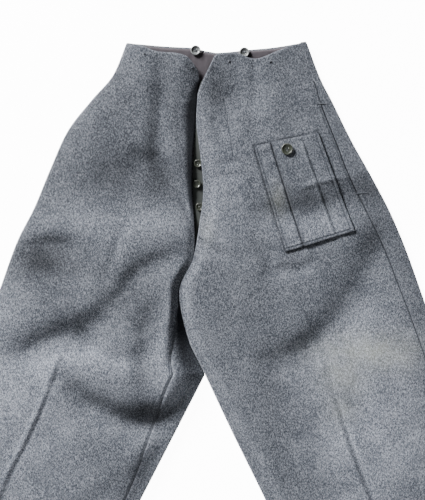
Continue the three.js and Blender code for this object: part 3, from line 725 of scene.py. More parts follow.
def front_level(leg, cut, along):
    """Height of the middle of the front cloth."""
    x, y = plan_point(cut, along)
    start = cut["inset"] + cut["inner_wide"]
    end = cut["width"] - SERGE / 2 - SIDE_RISE / 2
    across = np.clip((along - start) / (end - start), 0, 1)
    lift = cut["crown"] + fold_rise(leg.front_folds, x, y)
    lift = lift + ripple(x, y, *LONG_SWELL) + ripple(x, y, *SHORT_SWELL)
    body = BACK_LEVEL + SIDE_RISE + (1 - across**SIDE_FADE) * lift
    rolled = smooth_step(along - start, 0, cut["roll"])
    edge = cut["edge"]
    if leg.side < 0:
        row = cut["row"]
        steep = 1 - (1 - np.clip((along - start) / (cut["roll"] + STEEP_REACH), 0, 1)) ** STEEPNESS
        fly = smooth_step(row, *FLY_STEEP_ROWS)
        fork = smooth_step(row, *FORK_STEEP_ROWS) * smooth_step(row, *FORK_END_ROWS)
        rolled = rolled + (steep - rolled) * np.maximum(fly, fork)
        met = smooth_step(row, *FLY_MEETS_ROWS) * smooth_step(row, *FLY_PARTS_ROWS)
        edge = edge + (FLY_BASE_LEVEL - edge) * met
    level = edge + (body - edge) * rolled
    return np.maximum(level, np.minimum(LEAST_FRONT_LEVEL, cut["edge"]))


def back_level(leg, cut, along):
    """Height of the middle of the back cloth, which lies on the surface but for its creases."""
    x, y = plan_point(cut, along)
    fade = smooth_step(along, 4, 30) * smooth_step(cut["width"] - along, 8, 34)
    return BACK_LEVEL + np.maximum(fold_rise(leg.back_folds, x, y) * fade, 0)


def ring_point(leg, cut, place, outer):
    """Points of the ring measured from its inner end or its outer fold: over the front where the
    place is positive, round the fold and along the back where it is negative."""
    path = np.abs(place)
    arc = cut["outer_arc"] if outer else cut["inner_arc"]
    wide = SIDE_RISE / 2 if outer else cut["inner_wide"]
    high = SIDE_RISE / 2 if outer else cut["inner_high"]
    in_arc = path < arc
    angle = np.where(in_arc, path / np.maximum(arc, 1e-6), 1) * math.pi / 2
    reach = wide * (1 - np.cos(angle)) + np.where(in_arc, 0, path - arc)
    along = cut["width"] - SERGE / 2 - reach if outer else cut["inset"] + reach
    middle = BACK_LEVEL + high
    turn = middle + np.sign(place) * high * np.sin(angle)
    flat = np.where(place > 0, front_level(leg, cut, along), back_level(leg, cut, along))
    return along, np.where(in_arc, turn, flat)


def spread(*knots):
    """Places between knots: each knot is a place and the number of steps up to it."""
    places = [knots[0][0]]
    for (start, _), (end, steps) in zip(knots, knots[1:]):
        for k in range(1, steps + 1):
            places.append(start + (end - start) * k / steps)
    return np.concatenate(places, axis=1)


def panel_grid(leg, cut, inner_places, outer_places, level_of, steps):
    """Grid points of a panel: round its inner side, over its middle and round its outer side."""
    inner = ring_point(leg, cut, inner_places, False)
    outer = ring_point(leg, cut, outer_places, True)
    t = np.linspace(0, 1, steps + 1)[None, 1:-1]
    middle = inner[0][:, -1:] + (outer[0][:, :1] - inner[0][:, -1:]) * t
    along = np.concatenate([inner[0], middle, outer[0]], axis=1)
    level = np.concatenate([inner[1], level_of(leg, cut, middle), outer[1]], axis=1)
    x, y = plan_point(cut, along)
    return np.stack([x, y, level], axis=2)


def front_grid(leg, rows, steps):
    """Grid points of a front, from the fly edge or inseam to the side seam."""
    cut = section(leg, rows[:, None])
    closed = cut["closed"] > 0
    inner_edge = np.where(closed, cut["in_seam"] + SEAM_CLOSE / 2, np.maximum(cut["in_seam"], TINY))
    outer_edge = cut["side_seam"] + SEAM_CLOSE / 2
    inner_turn = np.maximum(inner_edge + 5, cut["inner_arc"])
    outer_turn = np.maximum(outer_edge + 5, cut["outer_arc"])
    inner_places = spread((inner_edge, 0), (inner_turn, 6))
    outer_places = spread((outer_turn, 0), (outer_edge, 8))
    return panel_grid(leg, cut, inner_places, outer_places, front_level, steps)


def back_grid(leg, rows, steps):
    """Grid points of a back, from the inseam or centre seam round to the side seam."""
    cut = section(leg, rows[:, None])
    closed = cut["closed"]
    inner_edge = np.where(closed > 0, cut["in_seam"] - SEAM_CLOSE / 2, -TINY)
    outer_edge = cut["side_seam"] - SEAM_CLOSE / 2
    inner_flat = -cut["inner_arc"] - 20 * (1 - closed)
    inner_turn = np.minimum(cut["inner_arc"], (inner_edge + inner_flat) / 2)
    outer_flat = np.minimum(-cut["outer_arc"], outer_edge - 5)
    outer_turn = np.minimum(cut["outer_arc"], (outer_edge + outer_flat) / 2)
    inner_places = spread((inner_edge, 0), (inner_turn, 8), (inner_flat, 12))
    outer_places = spread((outer_flat, 0), (outer_turn, 12), (outer_edge, 8))
    return panel_grid(leg, cut, inner_places, outer_places, back_level, steps)


def section_at(leg, x, y):
    """The section that places on the surface lie in, found by halving, and how far along it."""
    above = np.zeros(np.shape(x))
    below = np.full(np.shape(x), float(HEM_ROW))
    for _ in range(ROW_HALVINGS):
        middle = (above + below) / 2
        cut = section(leg, middle)
        along = (x - cut["in_x"]) / (cut["out_x"] - cut["in_x"]) * cut["width"]
        higher = plan_point(cut, along)[1] > y
        above = np.where(higher, middle, above)
        below = np.where(higher, below, middle)
    cut = section(leg, above)
    return cut, (x - cut["in_x"]) / (cut["out_x"] - cut["in_x"]) * cut["width"]


def level_at(leg, x, y):
    """Height of the middle of the front cloth at places on the surface."""
    cut, along = section_at(leg, np.asarray(x, dtype=float), np.asarray(y, dtype=float))
    return front_level(leg, cut, along)


def polyline_distance(line, x, y):
    """Distance of places from a line of stations."""
    best = np.full(np.broadcast(x, y).shape, FAR_OFF)
    for i in range(len(line["x"]) - 1):
        _, off_x, off_y = nearest_on(line, i, x, y)
        best = np.minimum(best, np.hypot(off_x, off_y))
    return best


def run_lengths(x, y):
    """How far along a line each of its stations lies."""
    return np.concatenate([[0], np.cumsum(np.hypot(np.diff(x), np.diff(y)))])


def edge_distance(grid, joined=()):
    """Distance of each grid point from the nearest edge of its sheet, along the grid lines. A side
    that is pressed flat against the next piece counts as farther off."""
    across = np.linalg.norm(np.diff(grid, axis=1), axis=2)
    down = np.linalg.norm(np.diff(grid, axis=0), axis=2)
    wide = np.concatenate([np.zeros((grid.shape[0], 1)), np.cumsum(across, axis=1)], axis=1)
    high = np.concatenate([np.zeros((1, grid.shape[1])), np.cumsum(down, axis=0)], axis=0)
    sides = {"inner": wide, "outer": wide[:, -1:] - wide, "top": high, "foot": high[-1:, :] - high}
    return np.minimum.reduce([far + PRESSED * (side in joined) for side, far in sides.items()])


def grid_normals(grid):
    """The normal of each grid point."""
    across = np.gradient(grid, axis=1)
    down = np.gradient(grid, axis=0)
    normal = np.cross(across, down)
    return normal / np.maximum(np.linalg.norm(normal, axis=2, keepdims=True), 1e-9)


def to_frame(points):
    """Points in millimetres from the fork, in metres from the frame's origin."""
    return (np.asarray(points, dtype=float) - FORK_TO_MIDDLE) * MM


def new_object(name, points, faces, material, attributes=None):
    """A smooth mesh object with values at its points."""
    mesh = bpy.data.meshes.new(name)
    mesh.from_pydata(points.tolist(), [], faces.tolist() if hasattr(faces, "tolist") else faces)
    mesh.polygons.foreach_set("use_smooth", [True] * len(mesh.polygons))
    for key, values in (attributes or {}).items():
        layer = mesh.attributes.new(key, "FLOAT", "POINT")
        layer.data.foreach_set("value", np.asarray(values, dtype=np.float32).ravel())
    mesh.materials.append(material)
    mesh.update()
    body = bpy.data.objects.new(name, mesh)
    bpy.context.scene.collection.objects.link(body)
    return body


# The value of each mark where there is none
MARK_REST = {"stitch": 20.0, "stain": 0.0, "shade": 0.0, "tone": 0.0}


def sheet_object(name, grid, thickness, material, marks=None, joined=()):
    """A closed sheet on a grid of middle points, with thinner soft edges, and its marks."""
    high, wide = grid.shape[:2]
    normal = grid_normals(grid)
    if normal[high // 2, wide // 2, 2] < 0 and grid[high // 2, wide // 2, 2] > BACK_LEVEL + 0.2:
        normal = -normal
    edge = edge_distance(grid, joined)
    half = thickness / 2 * (1 - EDGE_THINNING * bell(edge, EDGE_WIDTH))
    top = grid + normal * half[..., None]
    bottom = grid - normal * half[..., None]
    index = np.arange(high * wide).reshape(high, wide)
    corners = [index[:-1, :-1], index[:-1, 1:], index[1:, 1:], index[1:, :-1]]
    quads = np.stack(corners, axis=-1).reshape(-1, 4)
    under = quads[:, ::-1] + high * wide
    rim = np.concatenate([index[0, :], index[1:, -1], index[-1, -2::-1], index[-2:0:-1, 0]])
    rim_next = np.roll(rim, -1)
    rim_points = grid.reshape(-1, 3)[rim]
    around = np.roll(rim_points, -1, axis=0) - np.roll(rim_points, 1, axis=0)
    outward = np.cross(around, normal.reshape(-1, 3)[rim])
    outward /= np.maximum(np.linalg.norm(outward, axis=1, keepdims=True), 1e-9)
    from_middle = rim_points - grid[high // 2, wide // 2]
    if np.mean(np.einsum("ij,ij->i", outward, from_middle)) < 0:
        outward = -outward
    bulge = rim_points + outward * RIM_BULGE
    first = 2 * high * wide
    lip = np.arange(first, first + len(rim))
    lip_next = np.roll(lip, -1)
    upper = np.stack([rim, lip, lip_next, rim_next], axis=1)
    lower = np.stack([rim + high * wide, rim_next + high * wide, lip_next, lip], axis=1)
    points = np.concatenate([top.reshape(-1, 3), bottom.reshape(-1, 3), bulge])
    points[:, 2] = np.maximum(points[:, 2], 0)
    faces = np.concatenate([quads, under, upper, lower])
    if signed_volume(points, faces) < 0:
        faces = faces[:, ::-1]
    attributes = {key: np.full(len(points), rest) for key, rest in MARK_REST.items()}
    for key, values in {"edge": edge, **(marks or {})}.items():
        attributes[key] = np.concatenate([values.ravel(), values.ravel(), values.ravel()[rim]])
    return new_object(name, to_frame(points), faces, material, attributes)


def signed_volume(points, faces):
    """Volume of a closed mesh of quads, negative where it is inside out."""
    a, b, c, d = (points[faces[:, i]] for i in range(4))
    first = np.einsum("ij,ij->i", a, np.cross(b, c)).sum()
    second = np.einsum("ij,ij->i", a, np.cross(c, d)).sum()
    return (first + second) / 6


def sheet_area(grid):
    """Area of a sheet's middle in square metres."""
    a, b = grid[1:, 1:] - grid[:-1, :-1], grid[1:, :-1] - grid[:-1, 1:]
    return float(np.linalg.norm(np.cross(a, b), axis=2).sum() / 2) * MM * MM


def sheet_extent(grid):
    """Widest and longest measures of a sheet along its grid lines, in metres."""
    wide = np.linalg.norm(np.diff(grid, axis=1), axis=2).sum(axis=1).max()
    high = np.linalg.norm(np.diff(grid, axis=0), axis=2).sum(axis=0).max()
    return float(wide) * MM, float(high) * MM


# Keeps a rounded area within its rounded width and length
AREA_MARGIN = 0.999


def declare_cloth(body, node, grid, rests_on):
    """Puts a cloth piece in place of its node."""
    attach(body, "root")
    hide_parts(node)
    width, length = sheet_extent(grid)
    area = round(min(sheet_area(grid), width * length) * AREA_MARGIN, 4)
    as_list(rests_on)


# Shader helpers


def maths(tree, operation, first, second=None, third=None):
    """The output of a maths node fed by sockets or numbers."""
    made = tree.nodes.new("ShaderNodeMath")
    made.operation = operation
    for i, value in enumerate((first, second, third)):
        if value is None:
            continue
        if isinstance(value, (int, float)):
            made.inputs[i].default_value = value
        else:
            tree.links.new(value, made.inputs[i])
    return made.outputs[0]


def blend_colours(tree, factor, first, second, mode="MIX"):
    """The output of a colour mix fed by sockets, colours or numbers."""
    made = tree.nodes.new("ShaderNodeMix")
    made.data_type = "RGBA"
    made.blend_type = mode
    for socket, value in ((made.inputs[0], factor), (made.inputs[6], first), (made.inputs[7], second)):
        if isinstance(value, (int, float)):
            socket.default_value = value
        elif hasattr(value, "__len__"):
            socket.default_value = (*value[:3], 1.0)
        else:
            tree.links.new(value, socket)
    return made.outputs[2]


def ranged(tree, value, low, high, to_low=0.0, to_high=1.0, smooth=False):
    """A value moved from one range to another."""
    made = tree.nodes.new("ShaderNodeMapRange")
    if smooth:
        made.interpolation_type = "SMOOTHSTEP"
    tree.links.new(value, made.inputs["Value"])
    made.inputs["From Min"].default_value = low
    made.inputs["From Max"].default_value = high
    made.inputs["To Min"].default_value = to_low
    made.inputs["To Max"].default_value = to_high
    return made.outputs["Result"]


def noise(tree, vector, scale, detail=2.0, roughness=0.5, distortion=0.0):
    """The value of a noise texture."""
    made = tree.nodes.new("ShaderNodeTexNoise")
    made.inputs["Scale"].default_value = scale
    made.inputs["Detail"].default_value = detail
    made.inputs["Roughness"].default_value = roughness
    made.inputs["Distortion"].default_value = distortion
    tree.links.new(vector, made.inputs["Vector"])
    return made.outputs["Fac"]


def turned(tree, vector, angle, stretch):
    """A vector turned about Z and stretched."""
    made = tree.nodes.new("ShaderNodeMapping")
    made.inputs["Rotation"].default_value = (0, 0, angle)
    made.inputs["Scale"].default_value = stretch
    tree.links.new(vector, made.inputs["Vector"])
    return made.outputs["Vector"]


def new_group(name, inputs, outputs):
    """An empty node group with named sockets, and its input and output nodes."""
    tree = bpy.data.node_groups.new(name, "ShaderNodeTree")
    for label, kind, value in inputs:
        socket = tree.interface.new_socket(name=label, in_out="INPUT", socket_type=kind)
        if value is not None:
            socket.default_value = value
    for label, kind in outputs:
        tree.interface.new_socket(name=label, in_out="OUTPUT", socket_type=kind)
    return tree, tree.nodes.new("NodeGroupInput"), tree.nodes.new("NodeGroupOutput")


def built_once(store, name, build):
    """A node group or material that is built the first time it is asked for."""
    return store.get(name) or build(name)


def build_melange(name):
    """Melange wool: light and dark fibres in clumps, with a napped height."""
    tree, given, out = new_group(
        name,
        [
            ("Dark Fibre", "NodeSocketColor", (0.03, 0.035, 0.05, 1)),
            ("Light Fibre", "NodeSocketColor", (0.2, 0.22, 0.26, 1)),
            ("Clump Scale", "NodeSocketFloat", 330.0),
            ("Contrast", "NodeSocketFloat", 1.0),
        ],
        [("Color", "NodeSocketColor"), ("Height", "NodeSocketFloat")],
    )
    place = tree.nodes.new("ShaderNodeTexCoord").outputs["Object"]
    scaled = tree.nodes.new("ShaderNodeVectorMath")
    scaled.operation = "SCALE"
    tree.links.new(place, scaled.inputs[0])
    tree.links.new(given.outputs["Clump Scale"], scaled.inputs["Scale"])
    fibres = scaled.outputs[0]
    clumps = noise(tree, turned(tree, fibres, 0.35, (1.0, 0.62, 1.0)), 1.0, 3.0, 0.62, 0.35)
    strands = noise(tree, turned(tree, fibres, -0.5, (2.6, 0.9, 2.0)), 1.25, 2.0, 0.6, 0.2)
    crossing = noise(tree, turned(tree, fibres, 0.9, (2.4, 0.8, 2.0)), 1.4, 2.0, 0.6, 0.2)
    flecks = noise(tree, turned(tree, fibres, 0.2, (3.4, 1.8, 3.0)), 1.6, 1.0, 0.5)
    patches = noise(tree, place, 26.0, 2.0, 0.5)
    total = maths(tree, "MULTIPLY_ADD", clumps, 0.9, maths(tree, "MULTIPLY", strands, 0.5))
    total = maths(tree, "ADD", total, maths(tree, "MULTIPLY", crossing, 0.4))
    total = maths(tree, "ADD", total, maths(tree, "MULTIPLY", patches, 0.14))
    centred = maths(tree, "SUBTRACT", total, 0.97)
    strong = maths(tree, "MULTIPLY", centred, given.outputs["Contrast"])
    share = maths(tree, "MULTIPLY_ADD", strong, 1.75, 0.36)
    light = ranged(tree, flecks, 0.54, 0.70, 0.0, 0.8)
    dark = ranged(tree, flecks, 0.28, 0.40, -0.15, 0.0)
    factor = maths(tree, "ADD", share, maths(tree, "ADD", light, dark))
    clamp = tree.nodes.new("ShaderNodeClamp")
    tree.links.new(factor, clamp.inputs["Value"])
    sparse = maths(tree, "POWER", clamp.outputs[0], 1.7)
    colour = blend_colours(tree, sparse, given.outputs["Dark Fibre"], given.outputs["Light Fibre"])
    tree.links.new(colour, out.inputs["Color"])
    tree.links.new(maths(tree, "ADD", maths(tree, "MULTIPLY", total, 0.6), flecks), out.inputs["Height"])
    return tree


def build_weave(name):
    """Plain or twill weave: crossing threads with slubs."""
    tree, given, out = new_group(
        name,
        [
            ("Thread Color", "NodeSocketColor", (0.1, 0.1, 0.1, 1)),
            ("Threads per Metre", "NodeSocketFloat", 1400.0),
            ("Slant", "NodeSocketFloat", 0.0),
            ("Unevenness", "NodeSocketFloat", 0.3),
        ],
        [("Color", "NodeSocketColor"), ("Height", "NodeSocketFloat")],
    )
    place = tree.nodes.new("ShaderNodeTexCoord").outputs["Object"]
    parts = tree.nodes.new("ShaderNodeSeparateXYZ")
    tree.links.new(place, parts.inputs[0])
    turn = maths(tree, "MULTIPLY", given.outputs["Threads per Metre"], math.pi)
    across = maths(tree, "MULTIPLY_ADD", parts.outputs["Y"], given.outputs["Slant"], parts.outputs["X"])
    warp = maths(tree, "ABSOLUTE", maths(tree, "SINE", maths(tree, "MULTIPLY", across, turn)))
    weft = maths(tree, "ABSOLUTE", maths(tree, "SINE", maths(tree, "MULTIPLY", parts.outputs["Y"], turn)))
    height = maths(tree, "MULTIPLY", maths(tree, "ADD", warp, weft), 0.5)
    slub = noise(tree, turned(tree, place, 0.0, (1.0, 0.12, 1.0)), 1200.0, 2.0)
    wear = noise(tree, place, 60.0, 3.0)
    tone = maths(tree, "MULTIPLY_ADD", slub, given.outputs["Unevenness"], maths(tree, "MULTIPLY", wear, 0.5))
    tone = maths(tree, "ADD", tone, maths(tree, "MULTIPLY", height, 0.5))
    shade = grey_colour(tree, maths(tree, "ADD", tone, 0.35))
    colour = blend_colours(tree, 1.0, given.outputs["Thread Color"], shade, "MULTIPLY")
    tree.links.new(colour, out.inputs["Color"])
    tree.links.new(height, out.inputs["Height"])
    return tree


def build_wear(name):
    """Scuffs and rubbed rims: a mask from how far the surface stands out, broken up by noise."""
    tree, given, out = new_group(
        name,
        [("Amount", "NodeSocketFloat", 0.5), ("Scale", "NodeSocketFloat", 500.0)],
        [("Mask", "NodeSocketFloat"), ("Height", "NodeSocketFloat")],
    )
    place = tree.nodes.new("ShaderNodeTexCoord").outputs["Object"]
    bumps = tree.nodes.new("ShaderNodeTexNoise")
    bumps.inputs["Detail"].default_value = 4.0
    tree.links.new(place, bumps.inputs["Vector"])
    tree.links.new(given.outputs["Scale"], bumps.inputs["Scale"])
    shape = tree.nodes.new("ShaderNodeNewGeometry").outputs["Pointiness"]
    rim = ranged(tree, shape, 0.5, 0.62)
    broken = ranged(tree, bumps.outputs["Fac"], 0.42, 0.62)
    mask = maths(tree, "MULTIPLY", maths(tree, "MULTIPLY", rim, broken), given.outputs["Amount"])
    tree.links.new(mask, out.inputs["Mask"])
    tree.links.new(bumps.outputs["Fac"], out.inputs["Height"])
    return tree


def place_group(tree, group, **values):
    """A node of a shared group with its own values."""
    made = tree.nodes.new("ShaderNodeGroup")
    made.node_tree = group
    for key, value in values.items():
        socket = made.inputs[key.replace("_", " ")]
        socket.default_value = (*value[:3], 1.0) if hasattr(value, "__len__") else value
    return made


def new_material(name, roughness, specular=0.3, sheen=0.0, coat=0.0):
    """A material whose constant values stand on the shader's own sockets."""
    material = bpy.data.materials.new(name)
    material.use_nodes = True
    tree = material.node_tree
    shader = tree.nodes["Principled BSDF"]
    shader.inputs["Roughness"].default_value = roughness
    shader.inputs["Specular IOR Level"].default_value = specular
    shader.inputs["Sheen Weight"].default_value = sheen
    shader.inputs["Sheen Roughness"].default_value = 0.5
    shader.inputs["Coat Weight"].default_value = coat
    return material, tree, shader


def bump(tree, shader, height, strength, distance):
    """Feeds a height to the shader's normal."""
    made = tree.nodes.new("ShaderNodeBump")
    made.inputs["Strength"].default_value = strength
    made.inputs["Distance"].default_value = distance
    tree.links.new(height, made.inputs["Height"])
    tree.links.new(made.outputs["Normal"], shader.inputs["Normal"])


# Colour of the cloth where no light comes
DEEP_SHADE = (0.006, 0.007, 0.010)


def grey_colour(tree, value):
    """A grey as light as a value."""
    made = tree.nodes.new("ShaderNodeCombineColor")
    for socket in made.inputs:
        tree.links.new(value, socket)
    return made.outputs[0]


def mark(tree, name):
    """A value stored at the cloth's points."""
    made = tree.nodes.new("ShaderNodeAttribute")
    made.attribute_name = name
    return made.outputs["Fac"]


def build_serge(name):
    """Blue-grey melange serge with its stitch lines, paler rims, stains, painted shade and painted light
    with some paler cloth.
    """
    look = settings()
    material, tree, shader = new_material(name, 0.92, 0.12, sheen=0.04)
    wool = place_group(
        tree,
        built_once(bpy.data.node_groups, "Melange wool", build_melange),
        Dark_Fibre=look.serge_dark,
        Light_Fibre=look.serge_light,
        Clump_Scale=520.0,
        Contrast=2.0,
    )
    colour = wool.outputs["Color"]
    place = tree.nodes.new("ShaderNodeTexCoord").outputs["Object"]
    blotches = noise(tree, place, 55.0, 3.0, 0.6)
    stain = maths(tree, "MULTIPLY", mark(tree, "stain"), ranged(tree, blotches, 0.3, 0.62, 0.45, 1.0))
    tinted = blend_colours(tree, 0.32, colour, look.stain)
    colour = blend_colours(tree, stain, colour, tinted)
    edge, stitch = mark(tree, "edge"), mark(tree, "stitch")
    # The cloth slightly paler within three and a half millimetres of its edges
    pale_rim = ranged(tree, edge, 1.0, 3.5, 0.08, 0.0, smooth=True)
    # Painted shade: the cloth darkened within a millimetre of a sheet's free edges, where it meets what lies
    # beneath
    tuck = ranged(tree, edge, 0.0, 0.9, 0.55, 0.0, smooth=True)
    line = ranged(tree, stitch, 0.4, 1.9, 0.5, 0.0, smooth=True)
    colour = blend_colours(tree, pale_rim, colour, look.serge_light)
    colour = blend_colours(tree, tuck, colour, look.serge_dark)
    colour = blend_colours(tree, line, colour, look.serge_dark)
    # Painted shade: the shade mark darkens the cloth towards DEEP_SHADE
    colour = blend_colours(tree, mark(tree, "shade"), colour, DEEP_SHADE)
    # Painted light and shade, in part paler cloth: the tone mark makes the colour lighter or darker
    tone = grey_colour(tree, maths(tree, "ADD", mark(tree, "tone"), 1.0))
    colour = blend_colours(tree, 1.0, colour, tone, "MULTIPLY")
    tree.links.new(colour, shader.inputs["Base Color"])
    sunk = ranged(tree, stitch, 0.0, 2.2, -1.6, 0.0, smooth=True)
    bump(tree, shader, maths(tree, "ADD", wool.outputs["Height"], sunk), 0.55, 0.0007)
    return material


def serge_material():
    """The one serge that all the cloth outside shares."""
    return built_once(bpy.data.materials, "wool serge", build_serge)


def woven_material(name, colour, threads, slant, unevenness, roughness,
                   specular=0.25, sheen=0.1, relief=(0.4, 0.0003)):
    """Cotton lining, drill or sewing thread, once for each scene."""
    if name in bpy.data.materials:
        return bpy.data.materials[name]
    material, tree, shader = new_material(name, roughness, specular, sheen=sheen)
    weave = place_group(
        tree,
        built_once(bpy.data.node_groups, "Weave", build_weave),
        Thread_Color=colour,
        Threads_per_Metre=threads,
        Slant=slant,
        Unevenness=unevenness,
    )
    tree.links.new(weave.outputs["Color"], shader.inputs["Base Color"])
    bump(tree, shader, weave.outputs["Height"], *relief)
    return material


def button_material(name, colour, pale_rim, roughness, coat):
    """Composition or enamelled buttons, scuffed on their rims."""
    material, tree, shader = new_material(name, roughness, 0.5, coat=coat)
    group = built_once(bpy.data.node_groups, "Rim wear", build_wear)
    wear = place_group(tree, group, Amount=0.8, Scale=900.0)
    height = wear.outputs["Height"]
    mottled = blend_colours(tree, ranged(tree, height, 0.35, 0.7), colour, [c * 1.5 for c in colour])
    tree.links.new(blend_colours(tree, wear.outputs["Mask"], mottled, pale_rim), shader.inputs["Base Color"])
    uneven = ranged(tree, height, 0.3, 0.7, roughness * 0.8, roughness * 1.35)
    tree.links.new(uneven, shader.inputs["Roughness"])
    bump(tree, shader, height, 0.25, 0.0002)
    return material


def thread_material():
    """Sewing thread, twisted."""
    look = settings()
    return woven_material("sewing thread", look.thread, 1800.0, 0.8, 0.5, 0.7, 0.3, 0.2, (0.3, 0.0002))


# Cloth pieces


def leg_rows(leg):
    """Rows down a leg at the cloth grid's spacing, closer together at the waistband seam and hem."""
    first = BAND_SEAM_ROW + SEAM_STEP
    fine = np.linspace(first, HEM_ROW, FINE_ROWS)
    cut = section(leg, fine)
    x, y = plan_point(cut, cut["width"] / 2)
    length = run_lengths(x, y)
    count = int(length[-1] * MM / settings().grid)
    stops = np.linspace(0, length[-1], count)
    close = np.array([0.8, 1.6, 2.6])
    stops = np.unique(np.concatenate([stops, close, length[-1] - close]))
    return np.interp(stops, length, fine)


def soft_patches(patches, x, y):
    """How strongly each soft patch of a table colours places."""
    for at_x, at_y, wide, high, strength in zip(*patches.values()):
        yield strength * np.exp(-(((x - at_x) / wide) ** 2 + ((y - at_y) / high) ** 2))


def stain_mark(x, y):
    """How stained the cloth is."""
    return np.maximum.reduce([np.zeros(x.shape), *soft_patches(STAINS, x, y)])


def painted_light_and_pale_cloth(x, y):
    """Painted light and shade, in part paler cloth: how much lighter or darker the cloth is made than its
    mean.
    """
    tone = PAINTED_LIGHT_AT_WAIST + (PAINTED_LIGHT_AT_KNEE - PAINTED_LIGHT_AT_WAIST) * smooth_step(-y, *PAINTED_LIGHT_CHANGES)
    for patch in soft_patches(PAINTED_LIGHT_AND_PALE_CLOTH, x, y):
        tone = tone + patch
    return tone


def seam_line(leg, first, last, inset, column, steps=40):
    """Stations of a line beside a seam, inset from it along the sections."""
    rows = np.linspace(first, last, steps)
    cut = section(leg, rows)
    along, _ = ring_point(leg, cut, cut[column] + inset, column == "side_seam")
    x, y = plan_point(cut, along)
    return {"x": x, "y": y}


def pocket_plan(across, down):
    """Places of the field pocket from their shares across and down."""
    places = []
    for axis in (0, 1):
        top = POCKET_TOP_INNER[axis] + across * (POCKET_TOP_OUTER[axis] - POCKET_TOP_INNER[axis])
        width = POCKET_BOTTOM_OUTER[axis] - POCKET_BOTTOM_INNER[axis]
        bottom = POCKET_BOTTOM_INNER[axis] + across * width
        places.append(top + down * (bottom - top))
    return places[0], places[1]


def pocket_outline():
    """Stations round the field pocket."""
    x, y = pocket_plan(np.array([0, 1, 1, 0, 0]), np.array([0, 0, 1, 1, 0]))
    return {"x": x, "y": y}


def front_marks(leg, grid):
    """Stitch lines, stains, painted shade, and painted light with some paler cloth, of a front."""
    x, y = grid[..., 0], grid[..., 1]
    marks = {"stain": stain_mark(x, y), "tone": painted_light_and_pale_cloth(x, y)}
    if leg is LEFT:
        lines = [FLY_STITCHING, seam_line(LEFT, *SLIT_ROWS, SLIT_INSET, "side_seam")]
        # Painted shade round the field pocket's outline, fainter towards its outer side and its foot, and
        # along the slit and the seam
        outline = polyline_distance(pocket_outline(), x, y) + 1.2 * smooth_step(x, 190, 250)
        slit = polyline_distance(seam_line(LEFT, *SLIT_ROWS, 0.0, "side_seam"), x, y)
        under_pocket = (0.9 - 0.35 * smooth_step(-y, -262, -232)) * bell(outline, SHADE_WIDTH)
        slit_shade = DEEPEST * bell(slit, SHADE_WIDTH)
        marks["shade"] = np.maximum.reduce([under_pocket, slit_shade, seam_shade(leg, x, y)])
    else:
        marks["shade"] = np.maximum.reduce([fly_shade(x, y), fork_shade(x, y), seam_shade(leg, x, y)])
        lines = [seam_line(RIGHT, CROTCH_ROW + 0.8, HEM_ROW, INSEAM_INSET, "in_seam")]
    marks["stitch"] = np.minimum.reduce([polyline_distance(line, x, y) for line in lines])
    return marks


def fly_shade(x, y):
    """Painted shade where the right front rolls down into the fly."""
    rows = np.linspace(0.7, FLY_BASE_ROW, 40)
    cut = section(RIGHT, rows)
    edge_x, edge_y = plan_point(cut, np.maximum(cut["in_seam"], TINY))
    reach = np.interp(y, FLY_SHADE["y"], FLY_SHADE["reach"])
    far = polyline_distance({"x": edge_x, "y": edge_y}, x, y)
    shade = 1 - smooth_step(far, reach * 0.45, reach * 1.2)
    return DEEPEST * shade * smooth_step(y, *FLY_SHADE_FOOT)


def back_marks(leg, grid):
    """Stains, painted shade, and painted light with some paler cloth, of a back, which show where it wraps
    to the front.
    """
    x, y, z = grid[..., 0], grid[..., 1], grid[..., 2]
    on_top = smooth_step(z, BACK_LEVEL + 1.5, BACK_LEVEL + 3)
    marks = {"stain": stain_mark(x, y) * on_top, "tone": painted_light_and_pale_cloth(x, y) * on_top}
    shade = seam_shade(leg, x, y)
    if leg is RIGHT:
        shade = np.maximum(shade, fork_shade(x, y))
    marks["shade"] = shade * on_top
    return marks


def seam_shade(leg, x, y):
    """Painted shade: a fine dark line along the seam that shows on a front."""
    first, column = (BAND_SEAM_ROW, "side_seam") if leg is LEFT else (CROTCH_ROW + 0.8, "in_seam")
    far = polyline_distance(seam_line(leg, first, HEM_ROW, 0.0, column), x, y)
    return (0.7 if leg is LEFT else 0.4) * bell(far, SEAM_SHADE_WIDTH)


def fork_shade(x, y):
    """Painted shade in the deep hollow of the right leg beside the fork."""
    rows = np.linspace(CROTCH_ROW - 0.4, FORK_ROW, 30)
    line = {"x": value_at(CENTRE_LINE["x"], rows), "y": value_at(CENTRE_LINE["y"], rows)}
    reach = np.interp(y, FORK_SHADE["y"], FORK_SHADE["reach"])
    strength = np.interp(y, FORK_SHADE["y"], FORK_SHADE["strength"])
    far = polyline_distance(line, x, y)
    return strength * (1 - smooth_step(far, reach * 0.55, reach * 1.15))


class TROUSERS_OT_leg_panels(Operator):
    """Make the fronts and backs of both legs as thin cloth with their folds"""

    bl_idname = "trousers.leg_panels"
    bl_label = "Legs"

    def execute(self, context):
        serge = serge_material()
        for leg in (RIGHT, LEFT):
            rows = leg_rows(leg)
            joined = ("top",) if leg is LEFT else ("top", "outer")
            for part, grid, marks_of, under in (
                ("front", front_grid(leg, rows, FRONT_STEPS), front_marks, [f"back_{leg.name}"]),
                ("back", back_grid(leg, rows, BACK_STEPS), back_marks, []),
            ):
                node = f"{part}_{leg.name}"
                body = sheet_object(f"cloth_{node}", grid, SERGE, serge, marks_of(leg, grid), joined)
                declare_cloth(body, node, grid, under)
        return {"FINISHED"}


